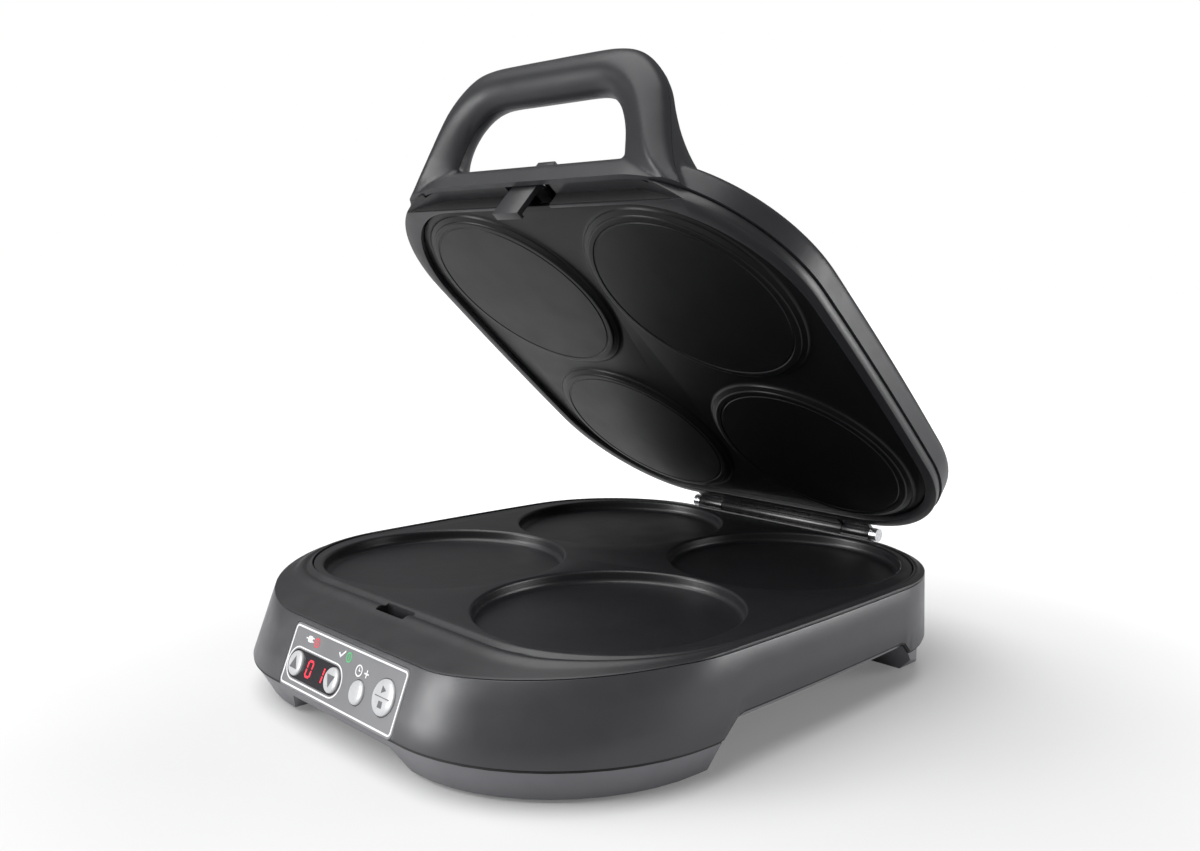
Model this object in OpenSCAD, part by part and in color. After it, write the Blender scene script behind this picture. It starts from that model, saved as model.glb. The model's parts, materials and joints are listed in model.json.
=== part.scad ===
// Hinged electric griddle with four round cooking wells.
// Origin: centre of the footprint, on the bench. +X right, +Y back, +Z up.
// The lid is drawn closed and then turned about the hinge to its opening angle.

/* [Cooking plates] */
// Diameter of one cooking well at its rim
well_d = 114; // [106:1:114]
// Distance between neighbouring well centres
well_pitch = 115; // [115:1:116]
// Depth of a cooking well
well_depth = 6; // [4:0.5:7]
// Width of both plates at their widest point
plate_w = 248; // [247:1:249]
// Length of both plates from front to back
plate_l = 234; // [233:1:235]
// Sheet thickness of both plates
plate_t = 2.2; // [1.6:0.1:2.3]
// Height of the raised discs on the upper plate
disc_h = 2.8; // [2:0.1:3]

/* [Base] */
// Height of the rim of the base above the bench
base_h = 50; // [49:1:53]
// Width of the base at its lower edge
base_w = 258; // [257:1:262]
// Thickness of the plastic walls
wall = 2.5; // [2:0.1:2.6]
// Lean of the front wall and control panel from upright
panel_lean = 21; // [20:1:22]
// Height above the bench of the lower edge of the front wall
front_foot_z = 15; // [14:0.5:16]
// Height of the arches under the sides
arch_z = 23; // [22:0.5:24]

/* [Control panel] */
// Width of the control panel
panel_w = 84; // [82:1:86]
// Height of the control panel along its slope
panel_h = 26; // [25:0.5:26]
// Diameter of the start button
start_d = 13.8; // [12:0.2:14]
// Diameter of the extra time button
extra_d = 9.4; // [8:0.2:10]
// Diameter of the up and down buttons
arrow_d = 10.1; // [9:0.1:10.2]
// How far the buttons stand out of the panel
button_rise = 1.6; // [1.2:0.1:2]

/* [Lid] */
// Angle between the lid and the base as drawn
lid_open = 41.5; // [0:0.5:90]
// Height of the side wall of the lid
lid_side_h = 16.5; // [16:0.5:18]
// Rise of the crowned top above the side wall
lid_crown = 6; // [5:0.5:8]

/* [Handle] */
// Lean of the handle forward from upright
handle_lean = 24; // [20:1:26]
// Height of the handle above the lid, along its lean
handle_h = 49; // [47:0.5:52]
// Width of the handle where it leaves the lid
handle_w = 165; // [160:1:168]
// Width of the handle at its shoulders
handle_top_w = 146; // [140:1:148]
// Height of the hand opening
grip_open_h = 29.5; // [28:0.5:31]
// Width of the hand opening at the lid
grip_open_w = 113; // [108:1:116]

/* [Hidden] */

// Colours
housing_grey = "#4c4c50";
deck_grey = "#404043";
cover_grey = "#6b6b6f";
fascia_grey = "#7c7d80";
coating_black = "#1b1b1d";
steel = "#9a9ca0";
dark_steel = "#2c2c2f";
zinc = "#c4c6c8";
board_green = "#2f6b3f";
black_plastic = "#202022";
button_silver = "#d9dadc";

// Round features are smooth; outlines have these many sides per corner and along each side
$fn = 64;
corner_steps = 12;
side_steps = 6;
side_bulge = 0.035;
skin = 0.01;
gap = 0.1;
fit = 0.4;
big = 400;

// Plates
grid_y = 9;
well_at = [for (sx = [-1, 1], sy = [-1, 1]) [sx * well_pitch / 2, grid_y + sy * well_pitch / 2]];
plate_y0 = grid_y - plate_l / 2;
plate_y1 = grid_y + plate_l / 2;
plate_front_r = 62;
plate_rear_r = 64;
rim_gap = 0.5;
plate_top = base_h - 0.6;
well_floor = plate_top - well_depth;
cup_wall = 2.4;
cup_under = well_floor - cup_wall;
post_at = [[-104, grid_y], [104, grid_y], [0, grid_y - 96], [0, grid_y + 96]];
post_d = 9;
pilot_d = 2.4;
screw_d = 3;
head_d = 6;

// Heating elements and what holds them
tube_d = 6.5;
loop_half = 58;
loop_r = 30;
leg_gap = 24;
leg_l = 32;
terminal_l = 7;
terminal_d = 2.4;
touch = 0.15;
lower_loop_z = cup_under - touch - tube_d / 2;
shield_t = 0.8;
lower_shield_z = lower_loop_z - tube_d / 2 - 4;
lower_shield_in = 8;
shield_ear = [12, 12];
shield_screw_at = [[-119, -16], [119, -16], [-119, 34], [119, 34]];
clamp_t = 1.2;
clamp_w = 10;
clamp_l = 34;
clamp_leg = 4;
clamp_y = 26;
thermostat_d = 16;
thermostat_h = 7;

// Base
base_y0 = -142.3;
base_y1 = 133;
base_front_r = 80;
base_rear_r = 66;
side_lean = 2;
bezel_t = 3;
deck_drop = 10;
deck_front_run = 29;
deck_side_run = 34;
ledge_in = 3.5;
ledge_out = 3;
ledge_top = plate_top - plate_t - gap;
ledge_t = 2.7;

// Lower edge of the side walls: front foot, arch, rear foot
front_step_y = -57;
arch_front_y = -50;
arch_rear_y = 66;
rear_step_y = 72;
rear_foot_z = 17;
cover_gap = 0.5;
cover_t = 2.2;
cover_in = 3.4;
cover_z = arch_z - cover_gap;
foot_base_z = 1.8;
foot_tuck = 8;
rear_foot_at = [88, 88];
rear_foot_size = [24, 30];
skirt_arch = [36, 46];
skirt_arch_h = 8.5;
skirt_arch_l = 19;
foot_d = 14;
foot_sink = 1.5;
feet_at = [[-86, -104], [86, -104], [-99, 100], [99, 100]];
front_screws = [[-62, -126], [62, -126]];
floor_screws = [[-119, -36], [119, -36], [-119, 54], [119, 54], [-24, 124], [24, 124]];
boss_d = 8;
boss_h = 7;
rib_t = 3;
tube_post_d = 9;

// Power electronics inside the front foot
power_y = -84;
power_z = 10;
power_size = [110, 36, 1.6];
power_posts = [[-50, power_y - 14], [50, power_y - 14], [-50, power_y + 14], [50, power_y + 14]];
relay_at = [-30, power_y];
relay_size = [15, 19, 14];
core_at = [22, power_y];
core_size = [30, 26, 12];
coil_size = [16, 22, 14];
block_at = [41, 124.5];
block_size = [16, 9, 7.5];

// Panel frame: origin at the middle of the panel's top edge, X right, Y down the slope, Z outwards
panel_top_z = 39.5;
panel_top_y = base_y0 + (panel_top_z - front_foot_z) * tan(panel_lean);
panel_r = 2.5;
recess = 1;
outline_in = 0.9;
outline_t = 0.8;
row_y = 15.8;
start_at = [30.9, 13];
extra_at = [13.4, row_y];
up_at = [-33.2, row_y];
down_at = [-5.1, row_y];
power_at = [-22.9, 5.1];
ready_at = [1.7, 5];
light_d = 2.6;
light_rise = 0.3;
window_x = (up_at.x + down_at.x) / 2;
window_l = 39.6;
window_h = 11.4;
window_t = 0.8;
view_l = 16;
view_h = 9.4;
digit_x = [-22.9, -14.1];
digit_h = 7.4;
digit_w = 4.4;
digit_bar = 1;
digit_slant = 0.12;
digit_t = 0.15;
button_gap = 0.3;
button_dome = 0.9;
flange_grow = 1.2;
flange_top = -(wall + 0.4);
flange_t = 1;
stem_end = flange_top - flange_t;
board_z = -9.2;
board_t = 1.6;
board_size = [84, 22];
board_y = 14;
switch_size = [6, 6, 1.8];
plunger_d = 3.4;
plunger_h = 0.8;
board_posts = [[-39.2, 5.5], [39.2, 5.5], [-39.2, 22.5], [39.2, 22.5]];
board_post_d = 4;

// Cord entry
gland_at = [62, base_y1, 32];
gland_d = 12;
gland_flange_d = 17;
gland_flange_t = 2.4;
gland_nut_t = 4;
gland_l = 15;
cord_d = 6.8;

// Lid, closed
hinge_y = 138;
hinge_z = base_h + 0.3;
lid_z0 = base_h + 0.6;
seam_z = lid_z0 + 5;
lid_z1 = lid_z0 + lid_side_h;
lid_w = 256;
lid_y0 = -117.5;
lid_y1 = 129.5;
lid_r = 66;
shoulder = 2.5;
crown_in = 42;
crown_mid_in = 18;
crown_mid = 0.7;
upper_z = lid_z0 + 2.2;
upper_in = 2.5;
disc_d = 104.6;
disc_base_d = 109.6;
disc_dish = 1.6;
upper_loop_z = upper_z + plate_t + touch + tube_d / 2;
upper_shield_z = upper_loop_z + tube_d / 2 + clamp_t + 2 * gap;
bezel_in = 0.8;
rim_in = 3.2;
flange_z = upper_z + plate_t + 2.3;
flange_h = 2;
flange_in = 12;
upstand_in = 10;
upper_shield_in = 10.5;
lid_screw_at = [[-117, -40], [117, -40], [-117, 56], [117, 56], [-24, 121], [24, 121]];
front_gap_half = 72;
latch_bay_half = 15;
latch_bay_y = -98.8;

// Handle frame: origin on the top front edge of the lid, X right, Y up the handle, Z to the front
handle_y = -115.5;
handle_z = lid_z1 - 1;
handle_front_t = 7;
handle_rear_t = 7;
handle_foot = -11;
handle_corner_r = 24;
opening_r = 19;
opening_lean = 2.5;
flare_r = 17;
lip_out = 5;
lip_over = 9;
bar_half = 34;
bar_taper = 20;
bar_ease = 0.6;
bar_end_r = 6.5;
handle_post_d = 7;
handle_screw_at = [[-66, 12], [66, 12], [-38, 39], [38, 39]];

// Hinge
barrel_r = 3.1;
pin_r = 1.6;
pin_clear = 0.05;
middle_half = 43;
knuckle_gap = 0.4;
hinge_half = 61;
pin_half = 63.5;
cap_end = 65.4;
cap_r = 3.4;
leaf_t = 1.4;
leaf_y = 132.6;
leaf_z0 = 32;
bracket_y = lid_y1 + gap;
bracket_z1 = lid_z1 - shoulder;
hinge_base_screw_x = [-32, 32];
hinge_base_screw_z = 39;
hinge_lid_screw_x = [-52, 52];
hinge_lid_screw_z = 62;
hinge_screw_l = 5;

// Latch
slot_y = -113;
slot_w = 20;
slot_l = 6.2;
hook_w = 17;
hook_t = 2.4;
hook_front = -114.2;
hook_lip = 1.4;
hook_lip_h = 1.6;
hook_tip_z = 40.2;
hook_pin_y = -112;
hook_pin_z = lid_z1 - 6.5;
hook_pin_r = 1.2;
hook_hub_r = 2.7;
lever_l = 12.4;
lever_w = 8;
lever_t = 2.2;
ear_x = 10.4;
ear_t = 3;
pin_ear_l = 14;
keeper_y = -110;
keeper_size = [24, 6, 1.2];
release_y0 = -112.5;
release_y1 = -100.5;
release_w = 11.7;
release_top = lid_z1 + 6;
release_flange_z = lid_z1 - 2;
release_flange_t = 1.1;
nub_l = 1.2;
retainer_l = 5.5;
nub_w = 6;

// ---- shapes used by several parts ----

function arc(c, r, a0, a1) =
    [for (i = [0:corner_steps])
        let (a = a0 + (a1 - a0) * i / corner_steps) c + r * [cos(a), sin(a)]];

function side(x, y0, y1) = [for (i = [1:side_steps - 1]) [x, y0 + (y1 - y0) * i / side_steps]];

// The points of a half outline followed by their mirror images
function both_sides(points) = concat(points,
    [for (i = [len(points) - 1:-1:0]) [-points[i].x, points[i].y]]);

// Rounded outline, symmetric about X = 0, whose long sides bow outward
function bowed_box(half_w, y0, y1, front_r, rear_r) =
    let (
        half = concat(
            arc([half_w - front_r, y0 + front_r], front_r, -90, 0),
            side(half_w, y0 + front_r, y1 - rear_r),
            arc([half_w - rear_r, y1 - rear_r], rear_r, 0, 90)),
        mid = (y0 + y1) / 2,
        reach = (y1 - y0) / 2)
    [for (p = both_sides(half)) [p.x * (1 - side_bulge * pow((p.y - mid) / reach, 2)), p.y]];

function plate_ring(grow) =
    bowed_box(plate_w / 2 + grow, plate_y0 - grow, plate_y1 + grow, plate_front_r + grow,
        plate_rear_r + grow);

function base_ring(in_side, in_front) =
    bowed_box(base_w / 2 - in_side, base_y0 + in_front, base_y1 - in_side,
              base_front_r - in_side, base_rear_r - in_side);

function lid_ring(inset) =
    bowed_box(lid_w / 2 - inset, lid_y0 + inset, lid_y1 - inset, lid_r - inset, lid_r - inset);

// Outline of the sloping deck where it has dropped by k times deck_drop
function deck_ring(k) =
    bowed_box(plate_w / 2 + k * deck_side_run, plate_y0 - k * deck_front_run,
        plate_y1 + k * deck_side_run,
              plate_front_r + k * deck_front_run, plate_rear_r + k * deck_side_run);

module plate_outline(grow = 0) {
    polygon(plate_ring(grow));
}

module base_outline(in_side, in_front) {
    polygon(base_ring(in_side, in_front));
}

module lid_outline(inset) {
    polygon(lid_ring(inset));
}

// Solid through a stack of [outline, height] pairs whose outlines have equally many points
module loft(rings) {
    n = len(rings[0][0]);
    last = len(rings) - 1;
    polyhedron(
        points = [for (r = rings, p = r[0]) [p.x, p.y, r[1]]],
        faces = concat(
            [[for (i = [0:n - 1]) i]],
            [for (k = [0:last - 1], i = [0:n - 1])
                [k * n + i, (k + 1) * n + i, (k + 1) * n + (i + 1) % n, k * n + (i + 1) % n]],
            [[for (i = [n - 1:-1:0]) last * n + i]]));
}

// Leaning block of the base moved inward by d, over the heights z0 to z1
module base_block(d, z0 = front_foot_z, z1 = base_h) {
    loft([for (z = [z0, z1])
        let (up = z - front_foot_z)
        [base_ring(up * tan(side_lean) + d, up * tan(panel_lean) + d / cos(panel_lean)), z]]);
}

// Everything under the top of the base: a flat rim, and a deck that slopes down at the front
module under_deck(down = 0) {
    reach = 1.6;
    loft([[deck_ring(reach), -down],
          [deck_ring(reach), base_h - reach * deck_drop - down],
          [plate_ring(rim_gap), base_h - down]]);
}

// What is cut away under the side walls
module arch_cut() {
    rotate([90, 0, 90])
        linear_extrude(big, center = true)
            polygon([[front_step_y, 0], [front_step_y, front_foot_z], [arch_front_y, arch_z],
                     [arch_rear_y, arch_z], [rear_step_y, rear_foot_z], [big / 2, rear_foot_z],
                      [big / 2, 0]]);
}

module on_panel() {
    translate([0, panel_top_y, panel_top_z]) rotate([90 - panel_lean, 0, 0]) mirror([0, 1, 0]) children();
}

// Turns the closed lid to its opening angle
module on_lid() {
    translate([0, hinge_y, hinge_z]) rotate([-lid_open, 0, 0]) translate([0, -hinge_y, -hinge_z])
        children();
}

module on_handle() {
    translate([0, handle_y, handle_z]) rotate([90 + handle_lean, 0, 0]) children();
}

module stadium(l, h) {
    square([l - h, h], center = true);
    for (s = [-1, 1]) translate([s * (l - h) / 2, 0]) circle(d = h);
}

module rounded_rect(w, h, r) {
    square([w - 2 * r, h], center = true);
    square([w, h - 2 * r], center = true);
    for (sx = [-1, 1], sy = [-1, 1]) translate([sx * (w / 2 - r), sy * (h / 2 - r)]) circle(r);
}

// Block centred on a point, standing on the height z
module block(at, size, z) {
    translate([at.x - size.x / 2, at.y - size.y / 2, z]) cube(size);
}

module post(at, d, z0, z1) {
    translate([at.x, at.y, z0]) cylinder(d = d, h = z1 - z0);
}

// Screw whose head sits on the origin and whose shank points down
module screw(l, d = screw_d, head = head_d) {
    head_h = head * 0.35;
    difference() {
        union() {
            translate([0, 0, -l]) cylinder(d = d, h = l + head_h / 2);
            cylinder(d1 = head, d2 = head * 0.72, h = head_h);
        }
        translate([0, 0, head_h]) cube([head, head * 0.14, head_h], center = true);
    }
}

module screws_down(points, z, l) {
    for (p = points) translate([p.x, p.y, z]) screw(l);
}

module screws_up(points, z, l) {
    for (p = points) translate([p.x, p.y, z]) mirror([0, 0, 1]) screw(l);
}

// Round tube bent to a rounded square, with two legs and their terminals towards the back
module element_loop() {
    run = 2 * (loop_half - loop_r);
    for (a = [0, 90, 180, 270])
        rotate(a) {
            translate([loop_half - loop_r, loop_half - loop_r, 0])
                rotate_extrude(angle = 90) translate([loop_r, 0]) circle(d = tube_d);
            if (a != 90)
                translate([loop_half, -run / 2, 0]) rotate([-90, 0, 0]) cylinder(d = tube_d, h = run);
        }
    for (s = [-1, 1])
        translate([s * leg_gap / 2, loop_half, 0]) {
            rotate([0, s * 90, 0]) cylinder(d = tube_d, h = (run - leg_gap) / 2);
            sphere(d = tube_d);
            rotate([-90, 0, 0]) cylinder(d = tube_d, h = leg_l);
            rotate([-90, 0, 0]) cylinder(d = terminal_d, h = leg_l + terminal_l);
        }
}

// Strap that spans the tube of an element, with two feet of height h
module clamp(h) {
    block([0, 0], [clamp_l, clamp_w, clamp_t], 0);
    for (s = [-1, 1]) block([s * (clamp_l - clamp_leg) / 2, 0], [clamp_leg, clamp_w, h], 0);
}

module clamps(h) {
    for (sx = [-1, 1], sy = [-1, 1]) translate([sx * loop_half, grid_y + sy * clamp_y, 0]) clamp(h);
}

// Straight lengths of wire between points, with a square clip at each point
module wire(points, d) {
    clip = 1.3;
    for (i = [1:len(points) - 1]) {
        a = points[i - 1];
        v = points[i] - a;
        l = norm(v);
        translate(a) rotate([0, acos(v.z / l), atan2(v.y, v.x)]) cylinder(d = d, h = l, $fn = 8);
        translate(a) cube(clip * d, center = true);
        translate(points[i]) cube(clip * d, center = true);
    }
}

module shield_holes() {
    for (p = post_at) translate(p) circle(d = screw_d + fit);
    for (s = [-1, 1]) translate([s * leg_gap / 2, grid_y + loop_half + leg_l + terminal_l]) circle(d = 7);
}

// ---- base shells ----

module panel_recess() {
    translate([0, panel_h / 2, -recess])
        linear_extrude(2 * recess) rounded_rect(panel_w + fit, panel_h + fit, panel_r);
}

module panel_openings() {
    depth = wall + 2;
    panel_recess();
    translate([0, 0, -depth]) {
        for (b = [[start_at, start_d], [extra_at, extra_d], [up_at, arrow_d], [down_at, arrow_d]])
            translate(b[0]) cylinder(d = b[1] + 2 * button_gap, h = depth);
        for (b = [power_at, ready_at]) translate(b) cylinder(d = light_d + fit, h = depth);
        translate([window_x - view_l / 2, row_y - view_h / 2, 0]) cube([view_l, view_h, depth]);
    }
    for (p = board_posts) translate([p.x, p.y, board_z + board_t]) cylinder(d = pilot_d, h = 5);
}

module gland_hole(d) {
    translate(gland_at - [0, 20, 0]) rotate([-90, 0, 0]) cylinder(d = d, h = 40);
}

// Screw boss with a rib that runs out to the wall in the direction out
module wall_boss(at, z, out) {
    rib = boss_d + 2;
    post(at, boss_d, z, z + boss_h);
    block(at + out * rib / 2,
        [rib_t + abs(out.x) * (rib - rib_t), rib_t + abs(out.y) * (rib - rib_t), boss_h], z);
}

function toward_wall(p) = abs(p.x) > 100 ? [sign(p.x), 0] : [0, sign(p.y)];

module base_bosses() {
    for (p = front_screws) wall_boss(p, front_foot_z, toward_wall(p));
    for (p = floor_screws) wall_boss(p, arch_z, toward_wall(p));
    for (p = shield_screw_at) wall_boss(p, lower_shield_z - gap - boss_h, toward_wall(p));
    on_panel() for (p = board_posts) translate([p.x, p.y, board_z + board_t])
        cylinder(d = board_post_d, h = 6);
}

module base_housing() {
    color(housing_grey)
        difference() {
            union() {
                difference() {
                    intersection() {
                        base_block(0);
                        under_deck(bezel_t + gap);
                    }
                    base_block(wall, front_foot_z - 1, base_h + 1);
                }
                intersection() {
                    base_block(wall / 2);
                    base_bosses();
                }
            }
            arch_cut();
            for (p = concat(front_screws, floor_screws, shield_screw_at))
                post(p, pilot_d, front_foot_z - 1, base_h / 2 + 10);
            on_panel() panel_openings();
            gland_hole(gland_d + 2 * gap);
            hinge_base_pilots();
        }
}

module hinge_base_pilots() {
    for (x = hinge_base_screw_x)
        translate([x, base_y1 - 5, hinge_base_screw_z]) rotate([-90, 0, 0])
            cylinder(d = screw_d + gap, h = 10);
}

module top_bezel() {
    color(deck_grey)
        difference() {
            union() {
                difference() {
                    intersection() {
                        base_block(0);
                        under_deck();
                    }
                    under_deck(bezel_t);
                }
                translate([0, 0, ledge_top - ledge_t])
                    linear_extrude(ledge_t)
                        intersection() {
                            plate_outline(ledge_out);
                            base_outline(wall + 1.5, wall + 1.5);
                        }
            }
            translate([0, 0, ledge_top]) linear_extrude(big) plate_outline(rim_gap);
            linear_extrude(big) plate_outline(-ledge_in);
            for (p = well_at) post(p, well_d + 2 * cup_wall + 1, 0, ledge_top + 1);
            block([0, slot_y], [slot_w, slot_l, 20], base_h - 15);
            on_panel() panel_recess();
        }
}

// ---- bottom cover ----

module pedestal(d) {
    z_top = front_foot_z - cover_gap + (d > 0 ? 1 : 0);
    intersection() {
        loft([[base_ring(foot_tuck + d, foot_tuck + d), foot_base_z], [base_ring(1 + d, 1 + d), z_top]]);
        translate([-big / 2, -big / 2, foot_base_z + d]) cube([big, big / 2 + front_step_y - d, big]);
    }
}

module skirt_arch(d) {
    h = foot_base_z + skirt_arch_h + d;
    translate([0, base_y0 - 1, 0])
        rotate([90, 0, 180])
            linear_extrude(skirt_arch_l + d)
                polygon(both_sides([[skirt_arch[1] + d, -1], [skirt_arch[0] + d, h]]));
}

module rear_foot(d) {
    over = d > 0 ? cover_t + 1 : 0;
    intersection() {
        hull() {
            translate([rear_foot_at.x - 4 + d, rear_step_y + d, cover_z - cover_t + over - skin])
                cube([50, 60, skin]);
            translate([rear_foot_at.x + d, rear_foot_at.y + d, foot_base_z + d])
                cube([rear_foot_size.x - 2 * d, rear_foot_size.y - 2 * d, skin]);
        }
        linear_extrude(big) base_outline(cover_in + d, cover_in + d);
    }
}

module rear_feet(d) {
    rear_foot(d);
    mirror([1, 0, 0]) rear_foot(d);
}

// Slab over the arches, and the wall that steps down from it to the front pedestal
module cover_slab() {
    translate([0, 0, cover_z - cover_t])
        linear_extrude(cover_t)
            difference() {
                base_outline(cover_in, cover_in);
                translate([-big / 2, -big]) square([big, big + front_step_y - cover_t]);
            }
    translate([0, 0, foot_base_z])
        linear_extrude(cover_z - foot_base_z)
            intersection() {
                base_outline(foot_tuck, foot_tuck);
                translate([-big / 2, front_step_y - cover_t]) square([big, cover_t]);
            }
}

module cover_vents() {
    for (x = [-60:12:60]) block([x, -10], [4, 40, 3 * cover_t], cover_z - 2 * cover_t);
}

module bottom_cover() {
    color(cover_grey)
        difference() {
            union() {
                difference() {
                    union() {
                        cover_slab();
                        difference() {
                            pedestal(0);
                            skirt_arch(0);
                        }
                        rear_feet(0);
                    }
                    difference() {
                        pedestal(cover_t);
                        skirt_arch(cover_t);
                    }
                    rear_feet(cover_t);
                }
                for (p = front_screws) post(p, tube_post_d, foot_base_z, front_foot_z - gap);
                for (p = power_posts) post(p, boss_d, foot_base_z + 1, power_z - gap);
            }
            for (p = feet_at) post(p, foot_d + fit, 0, foot_base_z + foot_sink + gap);
            for (p = front_screws) {
                post(p, screw_d + fit, 0, big);
                post(p, head_d + 1, 0, foot_base_z + 5);
            }
            for (p = floor_screws) post(p, screw_d + fit, 0, big);
            for (p = power_posts) post(p, pilot_d, foot_base_z + 2, big);
            cover_vents();
        }
}

module rubber_feet() {
    color(black_plastic)
        for (p = feet_at) post(p, foot_d, 0, foot_base_z + foot_sink);
}

module bottom_screws() {
    color(zinc) {
        screws_up(front_screws, foot_base_z + 5, 14);
        screws_up(floor_screws, cover_z - cover_t, 7);
    }
}

// ---- lower heating ----

module lower_plate() {
    color(coating_black)
        difference() {
            union() {
                translate([0, 0, plate_top - plate_t]) linear_extrude(plate_t) plate_outline();
                intersection() {
                    for (p = well_at) post(p, well_d + 2 * cup_wall, cup_under, plate_top);
                    translate([0, 0, cup_under]) linear_extrude(plate_top - cup_under) plate_outline();
                }
                for (p = post_at)
                    post(p, post_d, lower_shield_z + shield_t + gap, plate_top - plate_t / 2);
            }
            for (p = well_at) post(p, well_d, well_floor, big);
            for (p = post_at) post(p, pilot_d + 2 * gap, 0, plate_top - plate_t - 1);
        }
}

module lower_plate_screws() {
    color(zinc) screws_up(post_at, lower_shield_z - gap, 9);
}

module lower_element() {
    color(steel) translate([0, grid_y, lower_loop_z]) element_loop();
}

module lower_element_clamps() {
    z = lower_loop_z - tube_d / 2 - gap - clamp_t;
    color(zinc) translate([0, 0, z]) clamps(cup_under - gap - z);
}

module lower_heat_shield() {
    color(steel)
        translate([0, 0, lower_shield_z])
            linear_extrude(shield_t)
                difference() {
                    union() {
                        plate_outline(-lower_shield_in);
                        for (p = shield_screw_at) translate(p - [sign(p.x), 0])
                            square(shield_ear, center = true);
                    }
                    shield_holes();
                    for (p = shield_screw_at) translate(p) circle(d = screw_d + fit);
                }
}

module lower_shield_screws() {
    color(zinc) screws_down(shield_screw_at, lower_shield_z + shield_t + gap, 6);
}

// Flat-topped switch with two blade terminals, standing on z
module thermostat(z, up) {
    translate([0, grid_y, z])
        mirror([0, 0, up > 0 ? 0 : 1]) {
            cylinder(d = thermostat_d, h = thermostat_h - 2);
            cylinder(d = thermostat_d - 4, h = thermostat_h);
            for (s = [-1, 1]) block([s * thermostat_d / 2, 0], [5, 5, 0.8], thermostat_h - 4);
        }
}

module lower_thermostat() {
    color(black_plastic) thermostat(plate_top - plate_t - gap, -1);
}

module thermal_fuse() {
    color(zinc)
        translate([0, grid_y - 18, plate_top - plate_t - 2.4])
            rotate([0, 90, 0]) {
                cylinder(d = 4, h = 12, center = true);
                cylinder(d = 1, h = 20, center = true);
            }
}

// ---- electrics ----

module terminal_block() {
    color("#e8e4d8")
        difference() {
            block(block_at, block_size, cover_z + gap);
            for (s = [-1, 0, 1]) post(block_at + [s * 5, 0], 2.6, cover_z + 4, big);
        }
}

module cord_gland() {
    color(black_plastic)
        translate(gland_at)
            rotate([-90, 0, 0])
                difference() {
                    union() {
                        translate([0, 0, -gland_l]) cylinder(d = gland_d, h = gland_l + 1);
                        cylinder(d = gland_flange_d, h = gland_flange_t);
                        translate([0, 0, -wall - 2 - gland_nut_t])
                            cylinder(d = gland_flange_d - 1, h = gland_nut_t, $fn = 6);
                    }
                    translate([0, 0, -big / 2]) cylinder(d = cord_d, h = big);
                }
}

module power_board() {
    color(board_green)
        difference() {
            block([0, power_y], power_size, power_z);
            for (p = power_posts) post(p, screw_d + fit, 0, big);
        }
}

module power_board_screws() {
    color(zinc) screws_down(power_posts, power_z + power_size.z + gap, 6);
}

module power_relay() {
    color("#2a4f8c") block(relay_at, relay_size, power_z + power_size.z + gap);
}

module transformer() {
    color("#3b3b3b") {
        block(core_at, core_size, power_z + power_size.z + gap);
        block(core_at, coil_size + [0, 12, 0], power_z + power_size.z + gap);
    }
}

module base_wiring() {
    z = cover_z + 4;
    pin_y = grid_y + loop_half + leg_l + terminal_l;
    color("#b8b8b8") {
        for (s = [-1, 1])
            wire([[s * leg_gap / 2, pin_y + 1.5, lower_loop_z], [s * leg_gap / 2, pin_y + 1.5, z],
                  [34, 117 + 1.5 * s, z]], 2);
        for (s = [-1, 1])
            wire([[block_at.x + 4 * s, block_at.y - 6, z], [80 + 2 * s, 70, z], [80 + 2 * s, -62, z],
                  [48, power_y + 4 * s, power_z + 6]], 2);
        for (s = [-1, 0, 1])
            wire([[3 * s, -123, 22], [3 * s, -108, 18], [3 * s, -103.6, power_z + 3]], 1.2);
    }
}

// ---- control panel ----

module control_board() {
    color(board_green)
        on_panel()
            translate([0, 0, board_z])
                linear_extrude(board_t - gap)
                    difference() {
                        translate([0, board_y]) square(board_size, center = true);
                        for (p = board_posts) translate(p) circle(d = pilot_d + fit);
                    }
}

module board_screws() {
    color(zinc)
        on_panel()
            for (p = board_posts) translate([p.x, p.y, board_z - gap]) mirror([0, 0, 1]) screw(5, 2.2, 4);
}

module button_switches() {
    color(black_plastic)
        on_panel()
            for (p = [up_at, down_at, extra_at, start_at]) {
                block(p, switch_size, board_z + board_t);
                post(p, plunger_d, board_z + board_t, board_z + board_t + switch_size.z + plunger_h);
            }
}

module display_module() {
    z = board_z + board_t;
    color(black_plastic)
        on_panel() block([window_x, row_y], [view_l - 1, view_h - 1, -recess - 2 * digit_t - gap - z], z);
}

// Bars of one seven-segment digit; the slope runs down, so the digit is drawn upside down
module digit(bars) {
    u = digit_w - digit_bar;
    v = (digit_h - digit_bar) / 2;
    spots = [[0, -v, 0], [u / 2, -v / 2, 1], [u / 2, v / 2, 1], [0, v, 0],
             [-u / 2, v / 2, 1], [-u / 2, -v / 2, 1], [0, 0, 0]];
    multmatrix([[1, -digit_slant, 0, 0], [0, 1, 0, 0], [0, 0, 1, 0], [0, 0, 0, 1]])
        for (b = bars) {
            s = spots[b];
            translate([s.x, s.y])
                square(s[2] > 0 ? [digit_bar, v - digit_bar * 0.6]
                    : [u - digit_bar * 0.6, digit_bar], center = true);
        }
}

module display_digits() {
    color("#d8203a")
        on_panel()
            translate([0, 0, -recess - 2 * digit_t])
                linear_extrude(digit_t) {
                    translate([digit_x[0], row_y]) digit([0, 1, 2, 3, 4, 5]);
                    translate([digit_x[1], row_y]) digit([1, 2]);
                }
}

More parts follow.
